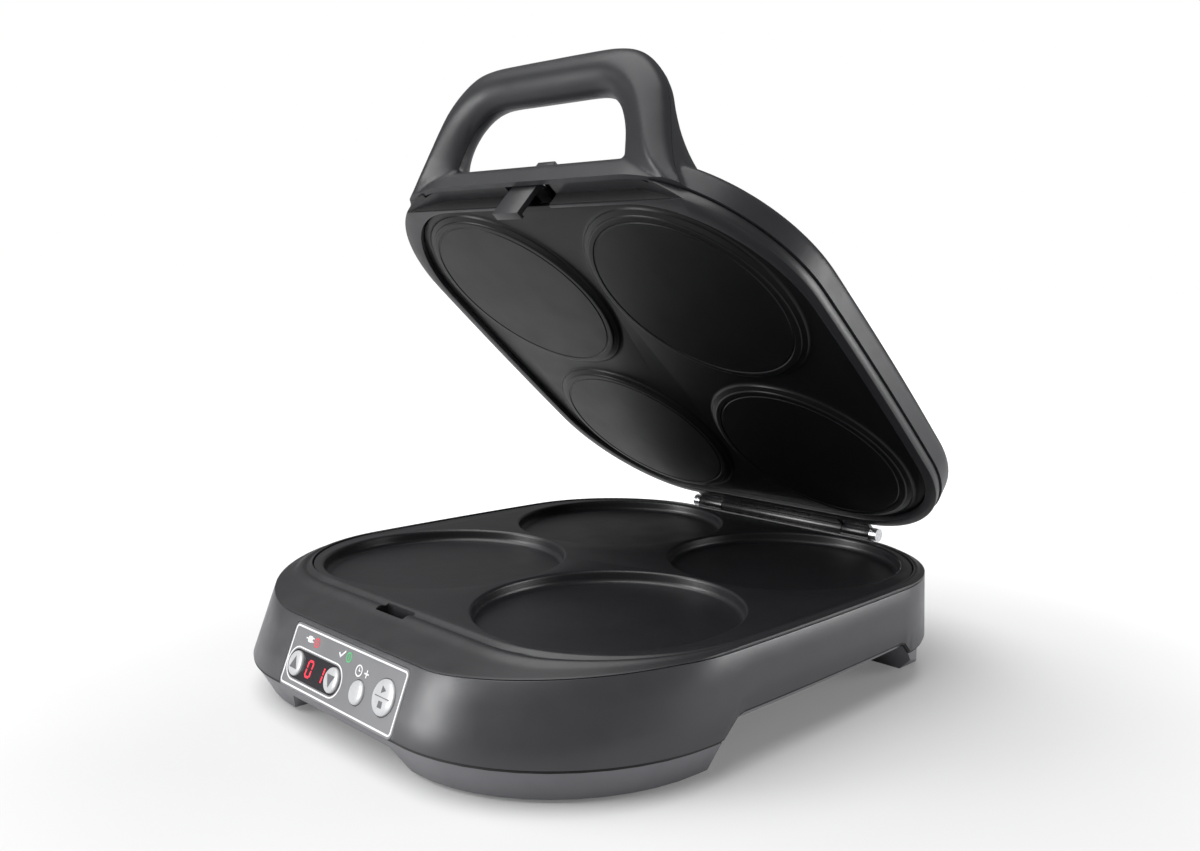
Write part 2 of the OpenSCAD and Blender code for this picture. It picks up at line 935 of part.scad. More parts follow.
module control_fascia() {
    color(fascia_grey)
        on_panel()
            translate([0, 0, -recess + gap])
                linear_extrude(recess - gap)
                    difference() {
                        translate([0, panel_h / 2]) rounded_rect(panel_w, panel_h, panel_r);
                        translate([window_x, row_y]) stadium(window_l + fit / 2, window_h + fit / 2);
                        for (b = [[start_at, start_d], [extra_at, extra_d]])
                            translate(b[0]) circle(d = b[1] + 2 * button_gap);
                        for (p = [power_at, ready_at]) translate(p) circle(d = light_d + fit);
                    }
}

module display_window() {
    color("#26262a")
        on_panel()
            translate([0, 0, -recess + gap])
                linear_extrude(window_t)
                    difference() {
                        translate([window_x, row_y]) stadium(window_l, window_h);
                        for (p = [up_at, down_at]) translate(p) circle(d = arrow_d + 2 * button_gap);
                    }
}

module light_pipe(at) {
    on_panel() post(at, light_d, board_z + board_t + gap, light_rise);
}

module power_light() {
    color("#e0394a") light_pipe(power_at);
}

module ready_light() {
    color("#3fbf6a") light_pipe(ready_at);
}

module button(at, d) {
    color(button_silver)
        on_panel() {
            post(at, d, stem_end, button_rise - button_dome);
            translate([at.x, at.y, button_rise - button_dome])
                cylinder(d1 = d, d2 = d - 2 * button_dome, h = button_dome);
            post(at, d + 2 * flange_grow, stem_end, flange_top);
        }
}

module up_button() {
    button(up_at, arrow_d);
}

module down_button() {
    button(down_at, arrow_d);
}

module extra_time_button() {
    button(extra_at, extra_d);
}

module start_button() {
    button(start_at, start_d);
}

// ---- hinge ----

module along_x(r, x0, x1) {
    translate([x0, hinge_y, hinge_z]) rotate([0, 90, 0]) cylinder(r = r, h = x1 - x0);
}

module hinge_base_leaf() {
    color(dark_steel)
        difference() {
            union() {
                translate([-middle_half, leaf_y, leaf_z0])
                    cube([2 * middle_half, leaf_t, hinge_z - barrel_r + leaf_t - leaf_z0]);
                translate([-middle_half, leaf_y, hinge_z - barrel_r])
                    cube([2 * middle_half, hinge_y - leaf_y, leaf_t]);
                along_x(barrel_r, -middle_half, middle_half);
            }
            along_x(pin_r + pin_clear, -big, big);
            for (x = hinge_base_screw_x)
                translate([x, leaf_y - 1, hinge_base_screw_z]) rotate([-90, 0, 0])
                    cylinder(d = screw_d + fit, h = 5);
        }
}

module hinge_base_screws() {
    color(zinc)
        for (x = hinge_base_screw_x)
            translate([x, leaf_y + leaf_t + gap, hinge_base_screw_z]) rotate([-90, 0, 0])
                screw(hinge_screw_l);
}

module hinge_pin() {
    color(steel) on_lid() along_x(pin_r, -pin_half, pin_half);
}

module hinge_end_caps() {
    color(zinc)
        on_lid()
            difference() {
                for (s = [0, 1]) mirror([s, 0, 0]) along_x(cap_r, hinge_half + gap, cap_end);
                along_x(pin_r + pin_clear, -pin_half - gap, pin_half + gap);
            }
}

module lid_bracket() {
    x0 = middle_half + knuckle_gap;
    w = hinge_half - x0;
    top = hinge_z + barrel_r;
    difference() {
        union() {
            along_x(barrel_r, x0, hinge_half);
            translate([x0, bracket_y, top - leaf_t]) cube([w, hinge_y - bracket_y, leaf_t]);
            translate([x0, bracket_y, top - leaf_t]) cube([w, leaf_t, bracket_z1 - top + leaf_t]);
        }
        along_x(pin_r + pin_clear, 0, big);
        translate([hinge_lid_screw_x[1], bracket_y - 1, hinge_lid_screw_z])
            rotate([-90, 0, 0]) cylinder(d = screw_d + fit, h = 5);
    }
}

module hinge_lid_brackets() {
    color(dark_steel)
        on_lid() {
            lid_bracket();
            mirror([1, 0, 0]) lid_bracket();
        }
}

module hinge_lid_screws() {
    color(zinc)
        on_lid()
            for (x = hinge_lid_screw_x)
                translate([x, bracket_y + leaf_t + gap, hinge_lid_screw_z]) rotate([-90, 0, 0])
                    screw(hinge_screw_l);
}

// ---- lid ----

// Crowned body of the lid above the seam, moved inward by d; below it the cavity stays open
module lid_solid(d) {
    loft([[lid_ring(d), seam_z - (d > 0 ? 1 : 0)],
          [lid_ring(d), lid_z1 - shoulder - d],
          [lid_ring(shoulder + d), lid_z1 - d],
          [lid_ring(crown_mid_in + d), lid_z1 + crown_mid * lid_crown - d],
          [lid_ring(crown_in + d), lid_z1 + lid_crown - d]]);
}

function handle_half(d) =
    let (w = handle_w / 2 - d, top = handle_top_w / 2 - d, r = handle_corner_r - d, u = handle_h - d)
    concat(
        arc([w + flare_r, handle_foot + flare_r + d], flare_r, 270, 180),
        arc([top - r, u - r], r, -10, 90));

function opening_half(d) =
    let (w = grip_open_w / 2 + d, u = grip_open_h + d, r = opening_r + d)
    concat([[w, -d]], arc([w - opening_lean - r, u - r], r, 0, 90));

// Both halves of the handle together, moved inward by d
module handle_body(d) {
    bar_u = (handle_h + grip_open_h) / 2;
    bar_r = (handle_h - grip_open_h) / 2 - bar_ease - d;
    translate([0, 0, d - handle_rear_t])
        linear_extrude(handle_front_t + handle_rear_t - 2 * d)
            difference() {
                polygon(both_sides(handle_half(d)));
                polygon(both_sides(opening_half(d)));
            }
    translate([0, bar_u, 0]) {
        rotate([0, 90, 0]) cylinder(r = bar_r, h = 2 * bar_half, center = true);
        for (s = [-1, 1])
            translate([s * bar_half, 0, 0]) rotate([0, s * 90, 0])
                cylinder(r1 = bar_r, r2 = bar_end_r - d, h = bar_taper);
    }
}

module handle_shell() {
    difference() {
        handle_body(0);
        difference() {
            handle_body(wall);
            for (p = handle_screw_at) post(p, handle_post_d, -20, 20);
        }
    }
}

// What the flared feet of the handle must not fill: all that is further out than a lip round the lid
module beyond_lip() {
    difference() {
        for (s = [-1, 1])
            translate([s * (big + handle_w) / 2 - big / 2, -big, 0])
                cube([big, big - lid_r, lid_z1 + lip_over]);
        linear_extrude(big) lid_outline(-lip_out);
    }
}

module handle_front() {
    color(housing_grey)
        on_lid()
            difference() {
                on_handle()
                    difference() {
                        handle_shell();
                        translate([-big / 2, -big / 2, -big]) cube([big, big, big + gap]);
                        for (p = handle_screw_at) post(p, pilot_d, -20, handle_front_t - 2);
                    }
                lid_solid(-gap);
                beyond_lip();
                translate([-big / 2, -big, seam_z - big]) cube([big, big, big]);
                translate([-big / 2, lid_y0 + wall, 0]) cube([big, big, seam_z + lid_side_h - 2]);
            }
}

module handle_rear() {
    difference() {
        handle_shell();
        translate([-big / 2, -big / 2, 0]) cube(big);
        for (p = handle_screw_at) {
            post(p, screw_d + fit, -20, 20);
            post(p, head_d + 1, -20, 2 - handle_rear_t);
        }
    }
}

module handle_screws() {
    color(zinc)
        on_lid() on_handle() screws_up(handle_screw_at, 2 - handle_rear_t, 9);
}

module lid_ears() {
    for (s = [-1, 1])
        block([s * (ear_x + ear_t / 2), hook_pin_y], [ear_t, 6, 20], hook_pin_z - 3.5);
}

module latch_axis(r, l) {
    translate([0, hook_pin_y, hook_pin_z]) rotate([0, 90, 0]) cylinder(r = r, h = l, center = true);
}

module release_slot() {
    translate([-release_w / 2 - fit, release_y0 - fit, lid_z1 - 4])
        cube([release_w + 2 * fit, release_y1 - release_y0 + 2 * fit, big]);
}

module lid_housing() {
    color(housing_grey)
        on_lid()
            difference() {
                union() {
                    difference() {
                        union() {
                            lid_solid(0);
                            difference() {
                                on_handle() handle_rear();
                                beyond_lip();
                            }
                        }
                        lid_solid(wall);
                    }
                    intersection() {
                        lid_solid(wall / 2);
                        union() {
                            for (p = lid_screw_at) post(p, boss_d, flange_z + flange_h + gap, big);
                            lid_ears();
                        }
                    }
                }
                for (p = lid_screw_at) post(p, pilot_d, 0, flange_z + flange_h + 5);
                latch_axis(hook_pin_r + pin_clear, 2 * pin_ear_l);
                release_slot();
                for (x = hinge_lid_screw_x)
                    translate([x, lid_y1 - 5, hinge_lid_screw_z]) rotate([-90, 0, 0])
                        cylinder(d = screw_d + gap, h = 10);
            }
}

module lid_bezel() {
    color(deck_grey)
        on_lid()
            difference() {
                union() {
                    translate([0, 0, lid_z0]) linear_extrude(seam_z - cover_gap - lid_z0)
                        lid_outline(bezel_in);
                    translate([0, 0, lid_z0]) linear_extrude(flange_z + flange_h - lid_z0)
                        lid_outline(rim_in);
                    linear_extrude(upper_shield_z - gap) plate_outline(-upstand_in);
                }
                linear_extrude(flange_z) plate_outline(fit - upper_in);
                linear_extrude(big) plate_outline(-flange_in);
                translate([-front_gap_half, -big, 0])
                    cube([2 * front_gap_half, big + plate_y0 + upper_in - 2, flange_z]);
                translate([-latch_bay_half, -big, 0]) cube([2 * latch_bay_half, big + latch_bay_y, big]);
                for (p = lid_screw_at) post(p, screw_d + fit, 0, big);
            }
}

module lid_screws() {
    color(zinc) on_lid() screws_up(lid_screw_at, flange_z - gap, 6);
}

module upper_plate() {
    color(coating_black)
        on_lid()
            difference() {
                union() {
                    translate([0, 0, upper_z]) linear_extrude(plate_t) plate_outline(-upper_in);
                    for (p = well_at)
                        translate([p.x, p.y, upper_z - disc_h])
                            cylinder(d1 = disc_d, d2 = disc_base_d, h = disc_h + skin);
                    for (p = post_at) post(p, post_d, upper_z + plate_t / 2, upper_shield_z - gap);
                }
                for (p = well_at) post(p, disc_d - 6, upper_z - disc_h + plate_t, upper_z + disc_dish);
                for (p = post_at) post(p, pilot_d + 2 * gap, upper_z + plate_t, big);
            }
}

module upper_plate_screws() {
    color(zinc) on_lid() screws_down(post_at, upper_shield_z + shield_t + gap, 7);
}

module upper_element() {
    color(steel) on_lid() translate([0, grid_y, upper_loop_z]) element_loop();
}

module upper_element_clamps() {
    h = tube_d + 2 * touch + clamp_t - gap / 2;
    color(zinc)
        on_lid() translate([0, 0, upper_z + plate_t + touch / 2 + h]) mirror([0, 0, 1]) clamps(h);
}

module upper_heat_shield() {
    color(steel)
        on_lid()
            translate([0, 0, upper_shield_z])
                linear_extrude(shield_t)
                    difference() {
                        plate_outline(-upper_shield_in);
                        shield_holes();
                    }
}

module upper_thermostat() {
    color(black_plastic) on_lid() thermostat(upper_z + plate_t + gap, 1);
}

module lid_wiring() {
    z = upper_shield_z + 2.6;
    pin_y = grid_y + loop_half + leg_l + terminal_l + 1.5;
    color("#b8b8b8")
        on_lid()
            for (s = [-1, 1])
                wire([[s * leg_gap / 2, pin_y, upper_loop_z], [s * leg_gap / 2, pin_y, z],
                      [s * leg_gap / 2, 60, z], [s * 20, 20, z]], 2);
}

// ---- latch ----

module latch_keeper() {
    color(zinc)
        translate([-keeper_size.x / 2, keeper_y, ledge_top - ledge_t - gap - keeper_size.z]) {
            cube(keeper_size);
            translate([0, keeper_size.y - keeper_size.z, -4]) cube([keeper_size.x, keeper_size.z, 4]);
        }
}

module latch_hook() {
    color(cover_grey)
        on_lid()
            difference() {
                union() {
                    translate([-hook_w / 2, hook_front, hook_tip_z])
                        cube([hook_w, hook_t, hook_pin_z - hook_tip_z]);
                    translate([-hook_w / 2, hook_front, hook_tip_z])
                        cube([hook_w, hook_t + hook_lip, hook_lip_h]);
                    latch_axis(hook_hub_r, hook_w);
                    translate([-lever_w / 2, hook_pin_y, hook_pin_z]) cube([lever_w, lever_l, lever_t]);
                }
                latch_axis(hook_pin_r + pin_clear, hook_w + 2);
            }
}

module latch_pin() {
    color(steel) on_lid() latch_axis(hook_pin_r, 2 * (ear_x + ear_t));
}

// Tight coil round the pin, beside the hook, with a tail towards the hinge
module latch_spring() {
    wire_d = 0.6;
    turns = 2;
    coil_r = hook_pin_r + wire_d;
    color(steel)
        on_lid()
            translate([hook_w / 2 + wire_d, hook_pin_y, hook_pin_z])
                rotate([0, 90, 0]) {
                    rotate_extrude() translate([coil_r - wire_d / 2, 0]) square([wire_d, turns * wire_d]);
                    translate([-coil_r, 0, turns * wire_d / 2]) rotate([-90, 0, 0])
                        cylinder(d = 0.9 * wire_d, h = 8);
                }
}

module release_button() {
    l = release_y1 - release_y0;
    color(housing_grey)
        on_lid() {
            translate([-release_w / 2, release_y0, release_flange_z])
                cube([release_w, l, release_top - release_flange_z]);
            translate([-release_w / 2 - 1, release_y1 - retainer_l, release_flange_z])
                cube([release_w + 2, retainer_l + 1, release_flange_t]);
            translate([-nub_w / 2, release_y1 - nub_l, hook_pin_z + lever_t + gap])
                cube([nub_w, nub_l, release_flange_z - hook_pin_z - lever_t]);
        }
}

base_housing();
top_bezel();
bottom_cover();
rubber_feet();
bottom_screws();
lower_plate();
lower_plate_screws();
lower_element();
lower_element_clamps();
lower_heat_shield();
lower_shield_screws();
lower_thermostat();
thermal_fuse();
terminal_block();
cord_gland();
power_board();
power_board_screws();
power_relay();
transformer();
base_wiring();
control_board();
board_screws();
button_switches();
display_module();
display_digits();
control_fascia();
display_window();
power_light();
ready_light();
up_button();
down_button();
extra_time_button();
start_button();
latch_keeper();
hinge_base_leaf();
hinge_pin();
hinge_end_caps();
hinge_base_screws();
hinge_lid_brackets();
hinge_lid_screws();
lid_housing();
lid_bezel();
handle_front();
handle_screws();
lid_screws();
upper_plate();
upper_plate_screws();
upper_element();
upper_element_clamps();
upper_heat_shield();
upper_thermostat();
lid_wiring();
latch_hook();
latch_pin();
latch_spring();
release_button();
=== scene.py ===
"""Looks of the electric griddle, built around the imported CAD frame.

Metres, +X right, +Y back, +Z up, as in the frame. Small lengths are written in millimetres times MM.
"""

import json  # noqa: E402
import math  # noqa: E402

import bmesh  # noqa: E402
import bpy  # noqa: E402
from mathutils import Matrix, Vector  # noqa: E402

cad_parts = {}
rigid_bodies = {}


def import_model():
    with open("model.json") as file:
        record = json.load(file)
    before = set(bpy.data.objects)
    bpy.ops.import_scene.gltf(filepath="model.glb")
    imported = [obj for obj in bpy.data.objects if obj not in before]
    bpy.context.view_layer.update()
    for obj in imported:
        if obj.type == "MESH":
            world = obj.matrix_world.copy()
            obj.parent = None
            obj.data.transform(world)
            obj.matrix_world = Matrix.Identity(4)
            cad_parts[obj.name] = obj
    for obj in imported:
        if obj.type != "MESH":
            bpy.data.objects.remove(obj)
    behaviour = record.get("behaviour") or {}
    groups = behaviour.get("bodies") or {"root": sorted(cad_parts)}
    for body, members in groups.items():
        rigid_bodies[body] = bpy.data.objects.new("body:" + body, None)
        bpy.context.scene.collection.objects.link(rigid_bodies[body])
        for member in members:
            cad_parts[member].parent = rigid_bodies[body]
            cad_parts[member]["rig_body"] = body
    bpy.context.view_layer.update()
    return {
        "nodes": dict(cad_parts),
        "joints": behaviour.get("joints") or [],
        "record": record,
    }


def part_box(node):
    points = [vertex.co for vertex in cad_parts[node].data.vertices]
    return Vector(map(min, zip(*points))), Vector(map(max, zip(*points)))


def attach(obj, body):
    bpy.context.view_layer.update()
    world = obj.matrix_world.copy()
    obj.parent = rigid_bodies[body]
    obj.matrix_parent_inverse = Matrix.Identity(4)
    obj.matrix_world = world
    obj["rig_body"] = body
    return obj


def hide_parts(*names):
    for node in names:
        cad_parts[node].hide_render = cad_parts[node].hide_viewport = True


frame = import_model()
NODES = frame["nodes"]
JOINTS = {joint["name"]: joint for joint in frame["joints"]}
MM = 0.001

# ---------------------------------------------------------------- materials


NOISE_LOW, NOISE_HIGH = 0.3, 0.7


class Shader:
    """A material under construction: one Principled shader and the nodes that drive it."""

    def __init__(self, name):
        self.material = bpy.data.materials.new(name)
        self.material.use_nodes = True
        self.tree = self.material.node_tree
        self.bsdf = self.tree.nodes["Principled BSDF"]
        self.where = self.add("ShaderNodeTexCoord").outputs["Object"]

    def add(self, kind, **settings):
        node = self.tree.nodes.new(kind)
        for key, value in settings.items():
            setattr(node, key, value)
        return node

    def join(self, source, target):
        self.tree.links.new(source, target)

    def set(self, **values):
        for key, value in values.items():
            self.bsdf.inputs[key.replace("_", " ")].default_value = value
        return self

    def noise(self, scale, detail=2.0, stretch=(1, 1, 1)):
        """Noise of so many features to the metre."""
        mapping = self.add("ShaderNodeMapping")
        mapping.inputs["Scale"].default_value = stretch
        noise = self.add("ShaderNodeTexNoise")
        noise.inputs["Scale"].default_value = scale
        noise.inputs["Detail"].default_value = detail
        self.join(self.where, mapping.inputs["Vector"])
        self.join(mapping.outputs["Vector"], noise.inputs["Vector"])
        return noise.outputs["Fac"]

    def ramp(self, source, stops):
        """Colour ramp over the middle of a noise's range; stops are colours."""
        ramp = self.add("ShaderNodeValToRGB")
        elements = ramp.color_ramp.elements
        elements[0].position, elements[1].position = NOISE_LOW, NOISE_HIGH
        elements[0].color, elements[1].color = stops[0], stops[-1]
        for i, colour in enumerate(stops[1:-1], 1):
            place = NOISE_LOW + (NOISE_HIGH - NOISE_LOW) * i / (len(stops) - 1)
            elements.new(place).color = colour
        self.join(source, ramp.inputs["Fac"])
        return ramp.outputs["Color"]

    def spread(self, source, low, high):
        """A noise's middle range mapped to low..high."""
        node = self.add("ShaderNodeMapRange")
        node.inputs["From Min"].default_value = NOISE_LOW
        node.inputs["From Max"].default_value = NOISE_HIGH
        node.inputs["To Min"].default_value = low
        node.inputs["To Max"].default_value = high
        self.join(source, node.inputs["Value"])
        return node.outputs["Result"]

    def bump(self, source, height, strength):
        """Relief of the given height in metres."""
        node = self.add("ShaderNodeBump")
        node.inputs["Strength"].default_value = strength
        node.inputs["Distance"].default_value = height
        self.join(source, node.inputs["Height"])
        self.join(node.outputs["Normal"], self.bsdf.inputs["Normal"])


def shade(colour, factor):
    return tuple(c * factor for c in colour) + (1,)


def moulded(name, colour, roughness, grain=2200, grain_height=0.03 * MM, coat=0.0, specular=0.5):
    """Moulded plastic: spark-eroded grain, faint flow mottling and uneven gloss."""
    s = Shader(name).set(Coat_Weight=coat, Coat_Roughness=0.3, Specular_IOR_Level=specular)
    flow = s.noise(38, 4)
    fine = s.noise(grain, 3)
    tones = [shade(colour, factor) for factor in (0.93, 1.0, 1.08)]
    s.join(s.ramp(flow, tones), s.bsdf.inputs["Base Color"])
    s.join(s.spread(s.noise(120, 5), roughness - 0.035, roughness + 0.035), s.bsdf.inputs["Roughness"])
    s.bump(fine, grain_height, 0.35)
    return s.material


def coated(name, colour, roughness, specular):
    """Sprayed non-stick coating: fine orange peel, faint pale flecks and patches of softer gloss."""
    s = Shader(name).set(Specular_IOR_Level=specular)
    flecks = s.noise(2600, 1)
    tones = [shade(colour, factor) for factor in (0.85, 1.0, 1.5)]
    s.join(s.ramp(flecks, tones), s.bsdf.inputs["Base Color"])
    s.join(s.spread(s.noise(60, 6), roughness - 0.03, roughness + 0.04), s.bsdf.inputs["Roughness"])
    s.bump(s.noise(900, 2), 0.01 * MM, 0.2)
    return s.material


def metal(name, colour, roughness, stretch=(1, 1, 18), scale=260):
    """Drawn, rolled or plated metal: long streaks in gloss and height."""
    s = Shader(name).set(Metallic=1.0)
    streaks = s.noise(scale, 4, stretch)
    s.join(s.ramp(s.noise(45, 3), [shade(colour, 0.86), shade(colour, 1.1)]), s.bsdf.inputs["Base Color"])
    s.join(s.spread(streaks, roughness - 0.07, roughness + 0.09), s.bsdf.inputs["Roughness"])
    s.bump(streaks, 0.02 * MM, 0.3)
    return s.material


def painted(name, colour, roughness, coat=0.5):
    """Smooth lacquer or print over plastic, with a very fine orange peel."""
    s = Shader(name).set(Coat_Weight=coat, Coat_Roughness=0.12)
    s.join(s.ramp(s.noise(90, 4), [shade(colour, 0.95), shade(colour, 1.04)]), s.bsdf.inputs["Base Color"])
    s.join(s.spread(s.noise(700, 3), roughness - 0.04, roughness + 0.04), s.bsdf.inputs["Roughness"])
    s.bump(s.noise(900, 2), 0.012 * MM, 0.25)
    return s.material


def glowing(name, colour, power):
    """Lit plastic: a translucent lens or segment whose brightness varies a little."""
    s = Shader(name).set(Roughness=0.35, Emission_Strength=power)
    tint = s.ramp(s.noise(500, 2), [shade(colour, 0.82), shade(colour, 1.0)])
    s.join(tint, s.bsdf.inputs["Base Color"])
    s.join(tint, s.bsdf.inputs["Emission Color"])
    s.bump(s.noise(1500, 2), 0.01 * MM, 0.2)
    return s.material


MATERIALS = {
    "housing": moulded("satin_charcoal", (0.042, 0.042, 0.047), 0.34),
    "deck": moulded("satin_dark_charcoal", (0.019, 0.019, 0.021), 0.40),
    "cover": moulded("satin_grey", (0.145, 0.145, 0.156), 0.42),
    "rubber": moulded("foot_rubber", (0.018, 0.018, 0.018), 0.75, 900, 0.08 * MM),
    "nonstick": coated("nonstick_coating", (0.014, 0.014, 0.016), 0.36, 0.6),
    "shield_steel": metal("rolled_steel", (0.52, 0.53, 0.54), 0.34, (1, 14, 1), 160),
    "element_steel": metal("drawn_steel", (0.36, 0.36, 0.37), 0.30),
    "zinc_steel": metal("zinc_plate", (0.62, 0.63, 0.64), 0.28, (1, 1, 1), 800),
    "hinge_black": moulded("blackened_steel", (0.016, 0.016, 0.018), 0.28, 1200, 0.02 * MM, 0.3),
    "ceramic": painted("glazed_ceramic", (0.72, 0.70, 0.62), 0.25),
    "black_plastic": moulded("black_plastic", (0.013, 0.013, 0.015), 0.5),
    "circuit_board": painted("solder_mask", (0.02, 0.12, 0.045), 0.35),
    "relay_blue": painted("relay_case", (0.02, 0.06, 0.24), 0.4),
    "core_steel": metal("laminated_core", (0.10, 0.10, 0.10), 0.4, (1, 1, 1), 900),
    "wire_sleeve": moulded("silicone_sleeve", (0.42, 0.42, 0.42), 0.55, 700),
    "digit_red": glowing("lit_segments", (0.85, 0.004, 0.03), 0.9),
    "fascia": moulded("satin_fascia", (0.150, 0.151, 0.158), 0.36, 3000, 0.015 * MM),
    "window": painted("smoked_window", (0.020, 0.018, 0.022), 0.12, 1.0),
    "light_red": glowing("lit_red_lens", (0.72, 0.03, 0.05), 0.25),
    "light_green": glowing("lit_green_lens", (0.03, 0.42, 0.12), 0.25),
    "button_silver": painted("silver_lacquer", (0.46, 0.465, 0.475), 0.3),
}
PRINT_WHITE = painted("white_print", (0.80, 0.80, 0.81), 0.45, 0.2)
PRINT_GREY = painted("grey_print", (0.085, 0.085, 0.095), 0.5, 0.2)
# Near-black of painted shade, for sheets put in seams and gaps that are only in shadow
PAINTED_SEAM_SHADE = moulded("painted_seam_shadow", (0.004, 0.004, 0.004), 0.7)
# Darker, less glossy copy of the non-stick coating for the lid's plate: painted shade
SHADED_LID_COATING = coated("nonstick_coating_lid_shaded", (0.004, 0.004, 0.0045), 0.34, 0.22)
# Darker, less glossy copy of the housing plastic for the lid shell and handle: painted shade
SHADED_LID_CHARCOAL = moulded("satin_charcoal_lid_shaded", (0.027, 0.027, 0.030), 0.36, specular=0.3)
# Near-black of the lid rim; also put on the latch hook as painted shade
RIM_BLACK_AND_HOOK_SHADE = moulded("satin_black_rim", (0.017, 0.017, 0.019), 0.36)

SLOT_OF = {part["node"]: part["material_slot"] for part in frame["record"]["subparts"]}
for name, node in NODES.items():
    node.data.materials.clear()
    node.data.materials.append(MATERIALS[SLOT_OF[name]])

# ---------------------------------------------------------------- camera and studio

CAMERA_AT = Vector((381.9, -350.8, 182.9)) * MM
CAMERA_AZIMUTH = math.radians(42.331)
CAMERA_ELEVATION = math.radians(6.757)
CAMERA_ROLL = math.radians(0.972)
LENS, SENSOR = 33.13, 36
SHIFT = (-0.0845, -0.0116)


def make_camera():
    camera = bpy.data.cameras.new("camera")
    camera.lens = LENS
    camera.sensor_width = SENSOR
    camera.shift_x, camera.shift_y = SHIFT
    camera.clip_start = 0.01
    holder = bpy.data.objects.new("camera", camera)
    a, e, r = CAMERA_AZIMUTH, CAMERA_ELEVATION, CAMERA_ROLL
    back = Vector((math.sin(a) * math.cos(e), -math.cos(a) * math.cos(e), math.sin(e)))
    level = Vector((math.cos(a), math.sin(a), 0))
    upright = back.cross(level)
    right = level * math.cos(r) + upright * math.sin(r)
    up = upright * math.cos(r) - level * math.sin(r)
    holder.matrix_world = Matrix.Translation(CAMERA_AT) @ Matrix((right, up, back)).transposed().to_4x4()
    bpy.context.scene.collection.objects.link(holder)
    bpy.context.scene.camera = holder


AMBIENT = 0.16
FLOOR_SIZE = 60
# Painted glow of the floor, far from the object and at its feet; the low value at its feet is a painted
# shade pool round the object
FLOOR_GLOW_WITH_PAINTED_SHADE = (0.60, 0.13)
SHADE_POOL_SCALE = 1.6
SHADE_POOL_SHIFT = (-0.16, 0.10, 0)
CARD_SIZE = 0.9
CARD_REACH = 0.80


def softbox(name, at, size, power, aim=(0, 0, 0.1)):
    light = bpy.data.lights.new(name, "AREA")
    light.shape = "RECTANGLE"
    light.size, light.size_y = size
    light.energy = power
    holder = bpy.data.objects.new(name, light)
    holder.location = at
    holder.rotation_euler = (Vector(aim) - Vector(at)).to_track_quat("-Z", "Y").to_euler()
    bpy.context.scene.collection.objects.link(holder)


def make_world():
    """White to the eye, dimmer as a light."""
    world = bpy.data.worlds.new("studio")
    world.use_nodes = True
    tree = world.node_tree
    seen = tree.nodes["Background"]
    seen.inputs["Color"].default_value = (1, 1, 1, 1)
    seen.inputs["Strength"].default_value = 1.0
    lit = tree.nodes.new("ShaderNodeBackground")
    lit.inputs["Color"].default_value = (1, 1, 1, 1)
    lit.inputs["Strength"].default_value = AMBIENT
    path = tree.nodes.new("ShaderNodeLightPath")
    mix = tree.nodes.new("ShaderNodeMixShader")
    tree.links.new(path.outputs["Is Camera Ray"], mix.inputs["Fac"])
    tree.links.new(lit.outputs["Background"], mix.inputs[1])
    tree.links.new(seen.outputs["Background"], mix.inputs[2])
    tree.links.new(mix.outputs["Shader"], tree.nodes["World Output"].inputs["Surface"])
    bpy.context.scene.world = world


def sunlight(power, softness, tilt):
    light = bpy.data.lights.new("soft_top", "SUN")
    light.energy = power
    light.angle = math.radians(softness)
    holder = bpy.data.objects.new("soft_top", light)
    holder.rotation_euler = tilt
    bpy.context.scene.collection.objects.link(holder)


def make_floor():
    """Pale floor with a painted glow: far off as white as the background, sinking to painted shade round
    the object's feet. Reflections see a plain, dimmer one.
    """
    bpy.ops.mesh.primitive_plane_add(size=FLOOR_SIZE)
    floor = bpy.context.object
    floor.name = "floor"
    s = Shader("pale_floor")
    tones = [(0.60, 0.60, 0.603, 1), (0.62, 0.62, 0.62, 1)]
    s.join(s.ramp(s.noise(6, 2), tones), s.bsdf.inputs["Base Color"])
    s.set(Roughness=0.6, Specular_IOR_Level=0.2, Emission_Color=(1, 1, 1, 1))
    # Spherical gradient round the object: painted shade pool on the floor, brightening outward
    around = s.add("ShaderNodeMapping")
    around.inputs["Scale"].default_value = (SHADE_POOL_SCALE, SHADE_POOL_SCALE, SHADE_POOL_SCALE)
    around.inputs["Location"].default_value = SHADE_POOL_SHIFT
    shade_pool = s.add("ShaderNodeTexGradient", gradient_type="SPHERICAL")
    fade = s.add("ShaderNodeMapRange", interpolation_type="SMOOTHSTEP")
    fade.inputs["From Min"].default_value = 0.0
    fade.inputs["From Max"].default_value = 0.8
    fade.inputs["To Min"].default_value, fade.inputs["To Max"].default_value = FLOOR_GLOW_WITH_PAINTED_SHADE
    s.join(s.where, around.inputs["Vector"])
    s.join(around.outputs["Vector"], shade_pool.inputs["Vector"])
    s.join(shade_pool.outputs["Fac"], fade.inputs["Value"])
    s.join(fade.outputs["Result"], s.bsdf.inputs["Emission Strength"])
    dim = s.add("ShaderNodeBsdfDiffuse")
    dim.inputs["Color"].default_value = (0.68, 0.68, 0.69, 1)
    mix = s.add("ShaderNodeMixShader")
    s.join(s.add("ShaderNodeLightPath").outputs["Is Camera Ray"], mix.inputs["Fac"])
    s.join(dim.outputs["BSDF"], mix.inputs[1])
    s.join(s.bsdf.outputs["BSDF"], mix.inputs[2])
    s.join(mix.outputs["Shader"], s.tree.nodes["Material Output"].inputs["Surface"])
    floor.data.materials.append(s.material)


